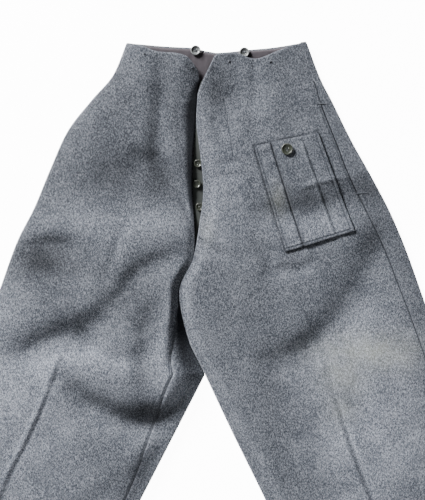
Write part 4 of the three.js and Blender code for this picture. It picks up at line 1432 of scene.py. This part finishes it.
def band_rows(leg, grid_of, top, steps_across):
    """Rows of a waistband that start at its shaped top edge."""
    probe = grid_of(leg, np.array([0.0]), steps_across)
    cut = section(leg, 0.0)
    reach = np.hypot(probe[0, :, 0] - float(cut["in_x"]), probe[0, :, 1] - float(cut["in_y"]))
    start = np.interp(reach / float(cut["width"]), top["across"], top["start"])
    smooth = np.convolve(np.pad(start, 4, mode="edge"), np.ones(9) / 9, mode="valid")
    end = BAND_SEAM_ROW - SEAM_STEP
    middle = np.linspace(0.08, 0.95, BAND_STEPS_DOWN)
    t = np.concatenate([[0, 0.012, 0.025, 0.045], middle, [0.975, 0.988, 1.0]])
    return smooth[None, :] + (end - smooth[None, :]) * t[:, None]


def band_grid(leg, grid_of, top, steps_across):
    """Grid points of a waistband: each column takes its own rows."""
    made = []
    for rows in band_rows(leg, grid_of, top, steps_across):
        columns = np.arange(len(rows))
        made.append(grid_of(leg, rows, steps_across)[columns, columns])
    return np.stack(made)


class TROUSERS_OT_waistband(Operator):
    """Make the four lengths of the waistband and the lining inside its back"""

    bl_idname = "trousers.waistband"
    bl_label = "Waistband"

    def execute(self, context):
        serge = serge_material()
        for leg, part, grid_of, top, steps in (
            (RIGHT, "front", front_grid, RIGHT_FRONT_TOP, BAND_FRONT_STEPS),
            (RIGHT, "back", back_grid, RIGHT_BACK_TOP, BAND_BACK_STEPS),
            (LEFT, "front", front_grid, LEFT_FRONT_TOP, BAND_FRONT_STEPS),
            (LEFT, "back", back_grid, LEFT_BACK_TOP, BAND_BACK_STEPS),
        ):
            grid = band_grid(leg, grid_of, top, steps)
            x, y = grid[..., 0], grid[..., 1]
            marks = {"tone": painted_light_and_pale_cloth(x, y)}
            if leg is RIGHT and part == "front":
                marks["shade"] = fly_shade(x, y)
            node = f"waistband_{part}_{leg.name}"
            body = sheet_object(f"cloth_{node}", grid, SERGE, serge, marks, ("foot", "outer"))
            under = [f"waistband_back_{leg.name}"] if part == "front" else []
            declare_cloth(body, node, grid, under)
        make_lining()
        return {"FINISHED"}


# How far the lining reaches from the middle of the back, and the rows that it starts and ends at
LINING_REACH_RIGHT = 110
LINING_REACH_LEFT = 142
LINING_TOP = 0.03
LINING_BOTTOM = 0.9


def make_lining():
    """The mauve lining inside the back waistband, slightly puckered below its top seam."""
    level = BACK_LEVEL + SERGE / 2 + SEAM_GAP + LINING / 2
    t = np.linspace(0, 1, 20)[:, None]
    sides = []
    for leg, reach, top in (
        (RIGHT, LINING_REACH_RIGHT, RIGHT_BACK_TOP),
        (LEFT, LINING_REACH_LEFT, LEFT_BACK_TOP),
    ):
        along = np.linspace(0, reach, 50)[None, :]
        share = along / float(section(leg, 0.0)["width"])
        start = np.interp(share, top["across"], top["start"]) + LINING_TOP
        row = start + (LINING_BOTTOM - start) * t
        x, y = plan_point(section(leg, row), np.broadcast_to(along, row.shape))
        sides.append(np.stack([x, y, np.full(x.shape, level)], axis=2))
    grid = np.concatenate([sides[0][:, :0:-1], sides[1]], axis=1)
    pucker = ripple(grid[..., 0], grid[..., 1] * 0.4, *PUCKER) * smooth_step(edge_distance(grid), 0, 8)
    grid[..., 2] += 0.25 + np.maximum(pucker, -0.25)
    lining = woven_material("lining cotton", settings().lining, 1500.0, 0.0, 0.35, 0.62, sheen=0.25)
    body = sheet_object("cloth_waistband_lining", grid, LINING, lining)
    under = ["waistband_back_right", "waistband_back_left"]
    declare_cloth(body, "waistband_lining", grid, under)


def pocket_profile(across):
    """Rise of the field pocket across its width: box pleat with a deep inner line."""
    inner = 1 / (1 + np.exp(-(across - PLEAT_INNER) / 0.004))
    outer = 1 / (1 + np.exp(-(PLEAT_OUTER - across) / 0.007))
    fall = 1 - 0.5 * np.clip((across - PLEAT_INNER) / (PLEAT_OUTER - PLEAT_INNER), 0, 1)
    pleat = PLEAT_RISE * inner * outer * fall
    return pleat + ridge(across, *PLEAT_HOLLOW) + ridge(across, *PLEAT_RIDGE)


def pocket_level(across, down):
    """Height of the middle of the field pocket's cloth."""
    x, y = pocket_plan(across, down)
    level = level_at(LEFT, x, y) + SERGE + POCKET_GAP
    pressed = smooth_step(down, 0.0, 0.15) * smooth_step(down, 1.0, 0.86)
    pleat = pocket_profile(across) * (0.45 + 0.55 * pressed)
    hem = ridge(down, *FOOT_HEM) + ridge(down, *MOUTH_HEM)
    return level + pleat + hem + ripple(x, y, *POCKET_SWELL)


def shares(knots, steps):
    """Shares from 0 to 1 in so many steps between each knot and the next."""
    parts = [np.linspace(a, b, n, endpoint=False) for a, b, n in zip(knots, knots[1:], steps)]
    return np.concatenate(parts + [[1.0]])


def pocket_grid():
    """Grid points of the field pocket, closest together at its pleats and edges."""
    knots = [0, 0.02, 0.05, PLEAT_INNER - 0.06, PLEAT_INNER - 0.02, PLEAT_INNER + 0.03, 0.5,
             PLEAT_OUTER - 0.05, PLEAT_OUTER + 0.03, PLEAT_OUTER + 0.06, 0.95, 0.98, 1]
    across = shares(knots, [4, 3, 8, 8, 16, 10, 10, 14, 5, 8, 3, 4])
    down = shares([0, 0.06, 0.92, 1], [12, 60, 15])
    across, down = np.meshgrid(across, down)
    x, y = pocket_plan(across, down)
    return np.stack([x, y, pocket_level(across, down)], axis=2), across, down


class TROUSERS_OT_field_pocket(Operator):
    """Make the box-pleated field pocket on the left front"""

    bl_idname = "trousers.field_pocket"
    bl_label = "Field pocket"

    def execute(self, context):
        grid, across, down = pocket_grid()
        x, y = grid[..., 0], grid[..., 1]
        # Painted shade along the pleat's lines, the pocket's inner side and its mouth
        lines = [ridge(across, *line) for line in (INNER_LINE, OUTER_LINE, SIDE_LINE)]
        shade = np.maximum.reduce([*lines, ridge(down, *MOUTH_LINE)])
        sides = np.minimum(across * POCKET_WIDTH, (1 - across) * POCKET_WIDTH)
        stitch = np.abs(np.minimum(sides, (1 - down) * POCKET_LENGTH) - POCKET_INSET)
        marks = {"stain": stain_mark(x, y), "shade": shade, "tone": painted_light_and_pale_cloth(x, y), "stitch": stitch}
        body = sheet_object("cloth_field_pocket", grid, SERGE, serge_material(), marks)
        declare_cloth(body, "field_pocket", grid, ["front_left"])
        return {"FINISHED"}


# The fly stand: the row that it starts at, and how far it reaches under the left front
STAND_TOP_ROW = 0.62
STAND_REACH = 26.0


class TROUSERS_OT_fly(Operator):
    """Make the olive button stand in the fly"""

    bl_idname = "trousers.fly"
    bl_label = "Fly stand"

    def execute(self, context):
        rows = np.linspace(STAND_TOP_ROW, FLY_BASE_ROW, 90)
        right, left = section(RIGHT, rows), section(LEFT, rows)
        from_x, from_y = plan_point(right, right["inset"] + right["in_seam"])
        to_x, to_y = plan_point(left, np.full(rows.shape, STAND_REACH))
        t = np.linspace(0, 1, 14)[None, :]
        x = (from_x + STAND_GAP)[:, None] * (1 - t) + to_x[:, None] * t
        y = from_y[:, None] * (1 - t) + to_y[:, None] * t
        grid = np.stack([x, y, STAND_LEVEL + ripple(x, y, *STAND_SWELL)], axis=2)
        drill = woven_material("cotton drill", settings().drill, 1100.0, 1.0, 0.4, 0.7)
        body = sheet_object("cloth_fly_stand", grid, DRILL, drill)
        declare_cloth(body, "fly_stand", grid, ["back_left"])
        return {"FINISHED"}


# Buttons and thread


def turned_button(name, radius, height, rim, dish, ring, hole, material):
    """A turned four-hole button standing on z = 0, in millimetres about its own middle."""
    sides = settings().wall_rings
    radii = BUTTON_PROFILE["radius"] * radius - BUTTON_PROFILE["rim"] * rim
    heights = BUTTON_PROFILE["height"] * height - BUTTON_PROFILE["dish"] * dish
    points = [(r * c, r * s, z) for r, z in zip(radii, heights) for c, s in circle(sides)]
    body = new_object(name, np.array(points), tube_faces(0, len(radii), sides), material)
    clean_mesh(body)
    cut_holes(body, [(ring * c, ring * s) for c, s in circle(4, math.pi / 4)], hole, height)
    return body


def circle(sides, turn=0.0):
    """The points of a circle of radius 1."""
    angles = [turn + 2 * math.pi * i / sides for i in range(sides)]
    return [(math.cos(a), math.sin(a)) for a in angles]


def tube_faces(first, rings, sides):
    """The faces between rings of points that follow each other."""
    faces = []
    for k in range(rings - 1):
        a, b = first + k * sides, first + (k + 1) * sides
        for i in range(sides):
            j = (i + 1) % sides
            faces.append((a + i, a + j, b + j, b + i))
    return faces


def clean_mesh(body):
    """Joins doubled points and turns the faces outwards."""
    mesh = bmesh.new()
    mesh.from_mesh(body.data)
    bmesh.ops.remove_doubles(mesh, verts=mesh.verts, dist=1e-5)
    bmesh.ops.dissolve_degenerate(mesh, dist=1e-5, edges=mesh.edges)
    bmesh.ops.recalc_face_normals(mesh, faces=mesh.faces)
    mesh.to_mesh(body.data)
    mesh.free()


def cut_holes(body, places, hole, height):
    """Cuts round holes through a button."""
    tool_mesh = bpy.data.meshes.new("hole_cutters")
    mesh = bmesh.new()
    for x, y in places:
        made = bmesh.ops.create_cone(
            mesh, cap_ends=True, segments=14, radius1=hole, radius2=hole, depth=height * 4
        )
        bmesh.ops.translate(mesh, verts=made["verts"], vec=(x, y, 0))
    mesh.to_mesh(tool_mesh)
    mesh.free()
    tool = bpy.data.objects.new("hole_cutters", tool_mesh)
    bpy.context.scene.collection.objects.link(tool)
    cut = body.modifiers.new("holes", "BOOLEAN")
    cut.operation = "DIFFERENCE"
    cut.object = tool
    cut.solver = "EXACT"
    shaped = bpy.data.meshes.new_from_object(body.evaluated_get(bpy.context.evaluated_depsgraph_get()))
    body.modifiers.clear()
    body.data = shaped
    bpy.data.objects.remove(tool)


def place_button(body, x, y, floor, turn, lean):
    """Moves a button's mesh to its place, turned and slightly tipped, in the frame."""
    points = np.array([v.co[:] for v in body.data.vertices])
    c, s = math.cos(turn), math.sin(turn)
    across, up, high = points.T
    spun = np.stack([across * c - up * s, across * s + up * c, high], axis=1)
    spun[:, 2] += spun[:, 0] * lean[0] + spun[:, 1] * lean[1]
    spun[:, 2] -= min(spun[:, 2].min(), 0)
    moved = to_frame(spun + np.array([x, y, floor + SEAM_GAP]))
    body.data.vertices.foreach_set("co", moved.ravel())
    body.data.update()


def thread_bars(ring, turn, x, y, level, thickness):
    """Two crossing pairs of thread bars through a button's holes."""
    corners = [(x + ring * c, y + ring * s) for c, s in circle(4, math.pi / 4 + turn)]
    bars = []
    for (ax, ay), (bx, by) in (corners[:2], corners[2:]):
        length = math.hypot(bx - ax, by - ay)
        for side in (-0.35, 0.35):
            nx, ny = -(by - ay) / length * side, (bx - ax) / length * side
            bars.append(((ax + nx, ay + ny, level), (bx + nx, by + ny, level), thickness))
    return bars


def stitch_mesh(name, bars, sides=6, rings=5):
    """One mesh of many threads: each a bar bowed up between its sunk ends."""
    points, faces = [], []
    for start, end, thickness in bars:
        start, end = np.array(start, dtype=float), np.array(end, dtype=float)
        length = np.linalg.norm(end - start)
        axis = (end - start) / length
        side = np.cross(axis, (0, 0, 1.0))
        side /= max(np.linalg.norm(side), 1e-9)
        up = np.cross(side, axis)
        first = len(points)
        for t in np.linspace(0, 1, rings):
            swell = math.sin(math.pi * (0.12 + 0.76 * t))
            centre = start + axis * length * t + up * (swell - 0.75) * thickness * 0.8
            radius = thickness / 2 * (0.45 + 0.55 * swell)
            points += [centre + (side * c + up * s) * radius for c, s in circle(sides)]
        last = len(points) - sides
        faces += tube_faces(first, rings, sides)
        faces += [tuple(range(first, first + sides))[::-1], tuple(range(last, last + sides))]
    body = new_object(name, to_frame(np.array(points)), faces, thread_material())
    clean_mesh(body)
    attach(body, "root")


def stitch_starts(run, first=0.0):
    """How far along a line of stitches each stitch starts."""
    return np.arange(first, run[-1] - STITCH_LENGTH, STITCH_PITCH)


def line_stitches(line, leg):
    """Stitches along a line of stations on a front."""
    x, y = line["x"], line["y"]
    run = run_lengths(x, y)
    starts = stitch_starts(run)
    ends = []
    for stops in (starts, starts + STITCH_LENGTH):
        at_x, at_y = np.interp(stops, run, x), np.interp(stops, run, y)
        ends.append(zip(at_x, at_y, level_at(leg, at_x, at_y) + SERGE / 2))
    return [(start, end, STITCH_WIDTH) for start, end in zip(*ends)]


class TROUSERS_OT_buttons(Operator):
    """Make the field pocket, brace and fly buttons with their threads"""

    bl_idname = "trousers.buttons"
    bl_label = "Buttons"

    def execute(self, context):
        dark = button_material("dark button", (0.020, 0.023, 0.017), (0.12, 0.125, 0.10), 0.32, 0.25)
        grey = button_material("grey button", (0.085, 0.090, 0.090), (0.30, 0.31, 0.31), 0.42, 0.1)
        across, down = (np.array([share]) for share in FIELD_BUTTON_SHARES)
        floors = {
            "field": float(pocket_level(across, down)[0]) + SERGE / 2,
            "brace": BACK_LEVEL + SERGE / 2 + SEAM_GAP + LINING,
            "fly": STAND_LEVEL + DRILL / 2,
        }
        bars = []
        for name, node, kind, x, y, turn, *lean in zip(*BUTTONS.values()):
            shape, floor = BUTTON_KINDS[kind], floors[kind]
            material, slot = (grey, "button_grey") if kind == "brace" else (dark, "button_dark")
            body = turned_button(str(name), **shape, material=material)
            place_button(body, x, y, floor, turn, lean)
            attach(body, "root")
            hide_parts(str(node))
            thread_level, thickness = BUTTON_THREADS[kind]
            bars += thread_bars(shape["ring"], turn, x, y, floor + thread_level, thickness)
        stitch_mesh("thread_buttons", bars)
        return {"FINISHED"}


class TROUSERS_OT_stitching(Operator):
    """Sew the fly, inseam, side pocket and field pocket, with bartacks and thread marks"""

    bl_idname = "trousers.stitching"
    bl_label = "Stitching"

    def execute(self, context):
        slit = seam_line(LEFT, *SLIT_ROWS, SLIT_INSET, "side_seam")
        inseam = seam_line(RIGHT, CROTCH_ROW + 0.9, HEM_ROW - 0.02, INSEAM_INSET, "in_seam", 90)
        bars = line_stitches(FLY_STITCHING, LEFT) + line_stitches(slit, LEFT)
        bars += line_stitches(inseam, RIGHT) + self.pocket_stitches()
        for _, x, y, length, slant in zip(*BARTACKS.values()):
            bars += self.bartack(x, y, length, slant)
        for i, (side, x, y, size) in enumerate(zip(*THREAD_MARKS.values())):
            bars += self.thread_mark(LEFT if side > 0 else RIGHT, x, y, size, 0.5 + i)
        stitch_mesh("thread_stitching", bars)
        return {"FINISHED"}

    def pocket_stitches(self):
        """Rows of stitching down the sides and along the foot of the field pocket."""
        side, foot = POCKET_INSET / POCKET_WIDTH, 1 - POCKET_INSET / POCKET_LENGTH
        stops = [(side, 0.01), (side, foot), (1 - side, foot), (1 - side, 0.01)]
        bars = []
        for (a0, d0), (a1, d1) in zip(stops, stops[1:]):
            t = np.linspace(0, 1, 60)
            across, down = a0 + (a1 - a0) * t, d0 + (d1 - d0) * t
            x, y = pocket_plan(across, down)
            level = pocket_level(across, down) + SERGE / 2
            run = run_lengths(x, y)
            for s in stitch_starts(run, 1.0):
                ends = [s, s + STITCH_LENGTH]
                places = np.stack([np.interp(ends, run, v) for v in (x, y, level)], axis=1)
                bars.append((places[0], places[1], STITCH_WIDTH))
        return bars

    def bartack(self, x, y, length, slant):
        """A dense bar of short threads."""
        bars = []
        for k, s in enumerate(np.linspace(-length / 2, length / 2, int(length / 0.8))):
            cx, cy = x + s * math.cos(slant), y + s * math.sin(slant)
            reach = 1.3 if k % 2 else 1.1
            dx, dy = -math.sin(slant) * reach, math.cos(slant) * reach
            level = float(level_at(LEFT, [cx], [cy])[0]) + SERGE / 2 + 0.15
            bars.append(((cx - dx, cy - dy, level), (cx + dx + 0.4, cy + dy, level), 0.7))
        return bars

    def thread_mark(self, leg, x, y, size, turn):
        """The crossed threads of a button sewn on the other side."""
        floor = float(level_at(leg, [x], [y])[0]) + SERGE / 2 + 0.25
        bars = []
        for k in range(4):
            angle = turn + k * math.pi / 4
            dx, dy = math.cos(angle) * size / 2, math.sin(angle) * size / 2
            level = floor + 0.1 * k
            bars.append(((x - dx, y - dy, level), (x + dx, y + dy, level), 1.1))
        return bars


# The stage in metres: the pale floor, and the lights with their size and share of the key light
FLOOR_HALF = 4.0
FLOOR_LEVEL = -0.0004
FLOOR_GLOW = 12.0
LIGHTS = (("key", (-3.2, 3.9, 1.55), 1.2, 64), ("near", (0.1, -1.0, 1.1), 1.0, 0.35))
WORLD_LIGHT = 0.06


class TROUSERS_OT_stage(Operator):
    """Lay a pale floor, set soft studio light and the camera straight above"""

    bl_idname = "trousers.stage"
    bl_label = "Stage"

    def execute(self, context):
        scene = context.scene
        floor_material, tree, shader = new_material("floor", 0.9, 0.1)
        grain = noise(tree, tree.nodes.new("ShaderNodeTexCoord").outputs["Object"], 3.0)
        tree.links.new(ranged(tree, grain, 0, 1, 0.90, 0.94), shader.inputs["Roughness"])
        shader.inputs["Base Color"].default_value = (0.9, 0.9, 0.9, 1)
        shader.inputs["Emission Color"].default_value = (1, 1, 1, 1)
        shader.inputs["Emission Strength"].default_value = FLOOR_GLOW
        signs = ((-1, -1), (1, -1), (1, 1), (-1, 1))
        corners = np.array([(a * FLOOR_HALF, b * FLOOR_HALF, FLOOR_LEVEL) for a, b in signs])
        floor = new_object("floor", corners, [(0, 1, 2, 3)], floor_material)
        for name, place, size, share in LIGHTS:
            self.add_light(name, place, size, settings().key_light * share)
        world = bpy.data.worlds.new("studio")
        scene.world = world
        world.use_nodes = True
        background = world.node_tree.nodes["Background"]
        background.inputs["Color"].default_value = (0.93, 0.96, 1.0, 1)
        background.inputs["Strength"].default_value = WORLD_LIGHT
        self.add_camera(scene)
        return {"FINISHED"}

    def add_light(self, name, place, size, power):
        """A square soft light aimed at the middle of the garment."""
        data = bpy.data.lights.new(name, "AREA")
        data.size = size
        data.energy = power
        lamp = bpy.data.objects.new(name, data)
        lamp.location = place
        direction = -lamp.location
        lamp.rotation_mode = "QUATERNION"
        lamp.rotation_quaternion = direction.to_track_quat("-Z", "Y")
        bpy.context.scene.collection.objects.link(lamp)

    def add_camera(self, scene):
        """The camera straight above the photograph's middle, as far off as its frame needs."""
        data = bpy.data.cameras.new("camera")
        data.lens = LENS_MM
        data.sensor_width = SENSOR_MM
        camera = bpy.data.objects.new("camera", data)
        distance = VIEW_HEIGHT * LENS_MM / SENSOR_MM
        camera.location = to_frame((*VIEW_MIDDLE, VIEW_LEVEL + distance))
        camera.rotation_euler = (0, 0, 0)
        data.clip_start, data.clip_end = 0.05, 50
        scene.collection.objects.link(camera)
        scene.camera = camera


class TROUSERS_PT_panel(Panel):
    """Lists the pieces of the trousers in the sidebar"""

    bl_idname = "TROUSERS_PT_panel"
    bl_label = "Battledress trousers"
    bl_space_type = "VIEW_3D"
    bl_region_type = "UI"
    bl_category = "Trousers"

    def draw(self, context):
        for name in TrousersSettings.__annotations__:
            self.layout.prop(context.scene.trousers, name)
        for operator in STEPS:
            self.layout.operator(operator.bl_idname)


STEPS = (
    TROUSERS_OT_stage,
    TROUSERS_OT_leg_panels,
    TROUSERS_OT_waistband,
    TROUSERS_OT_fly,
    TROUSERS_OT_field_pocket,
    TROUSERS_OT_buttons,
    TROUSERS_OT_stitching,
)
CLASSES = (TrousersSettings, *STEPS, TROUSERS_PT_panel)


def register():
    """Registers the classes and the scene's settings."""
    for item in CLASSES:
        bpy.utils.register_class(item)
    bpy.types.Scene.trousers = PointerProperty(type=TrousersSettings)


def unregister():
    """Removes the classes and the scene's settings."""
    del bpy.types.Scene.trousers
    for item in reversed(CLASSES):
        bpy.utils.unregister_class(item)


def main():
    """Makes every piece in order."""
    register()
    bpy.ops.trousers.stage()
    bpy.ops.trousers.leg_panels()
    bpy.ops.trousers.waistband()
    bpy.ops.trousers.fly()
    bpy.ops.trousers.field_pocket()
    bpy.ops.trousers.buttons()
    bpy.ops.trousers.stitching()


if __name__ == "__main__":
    main()
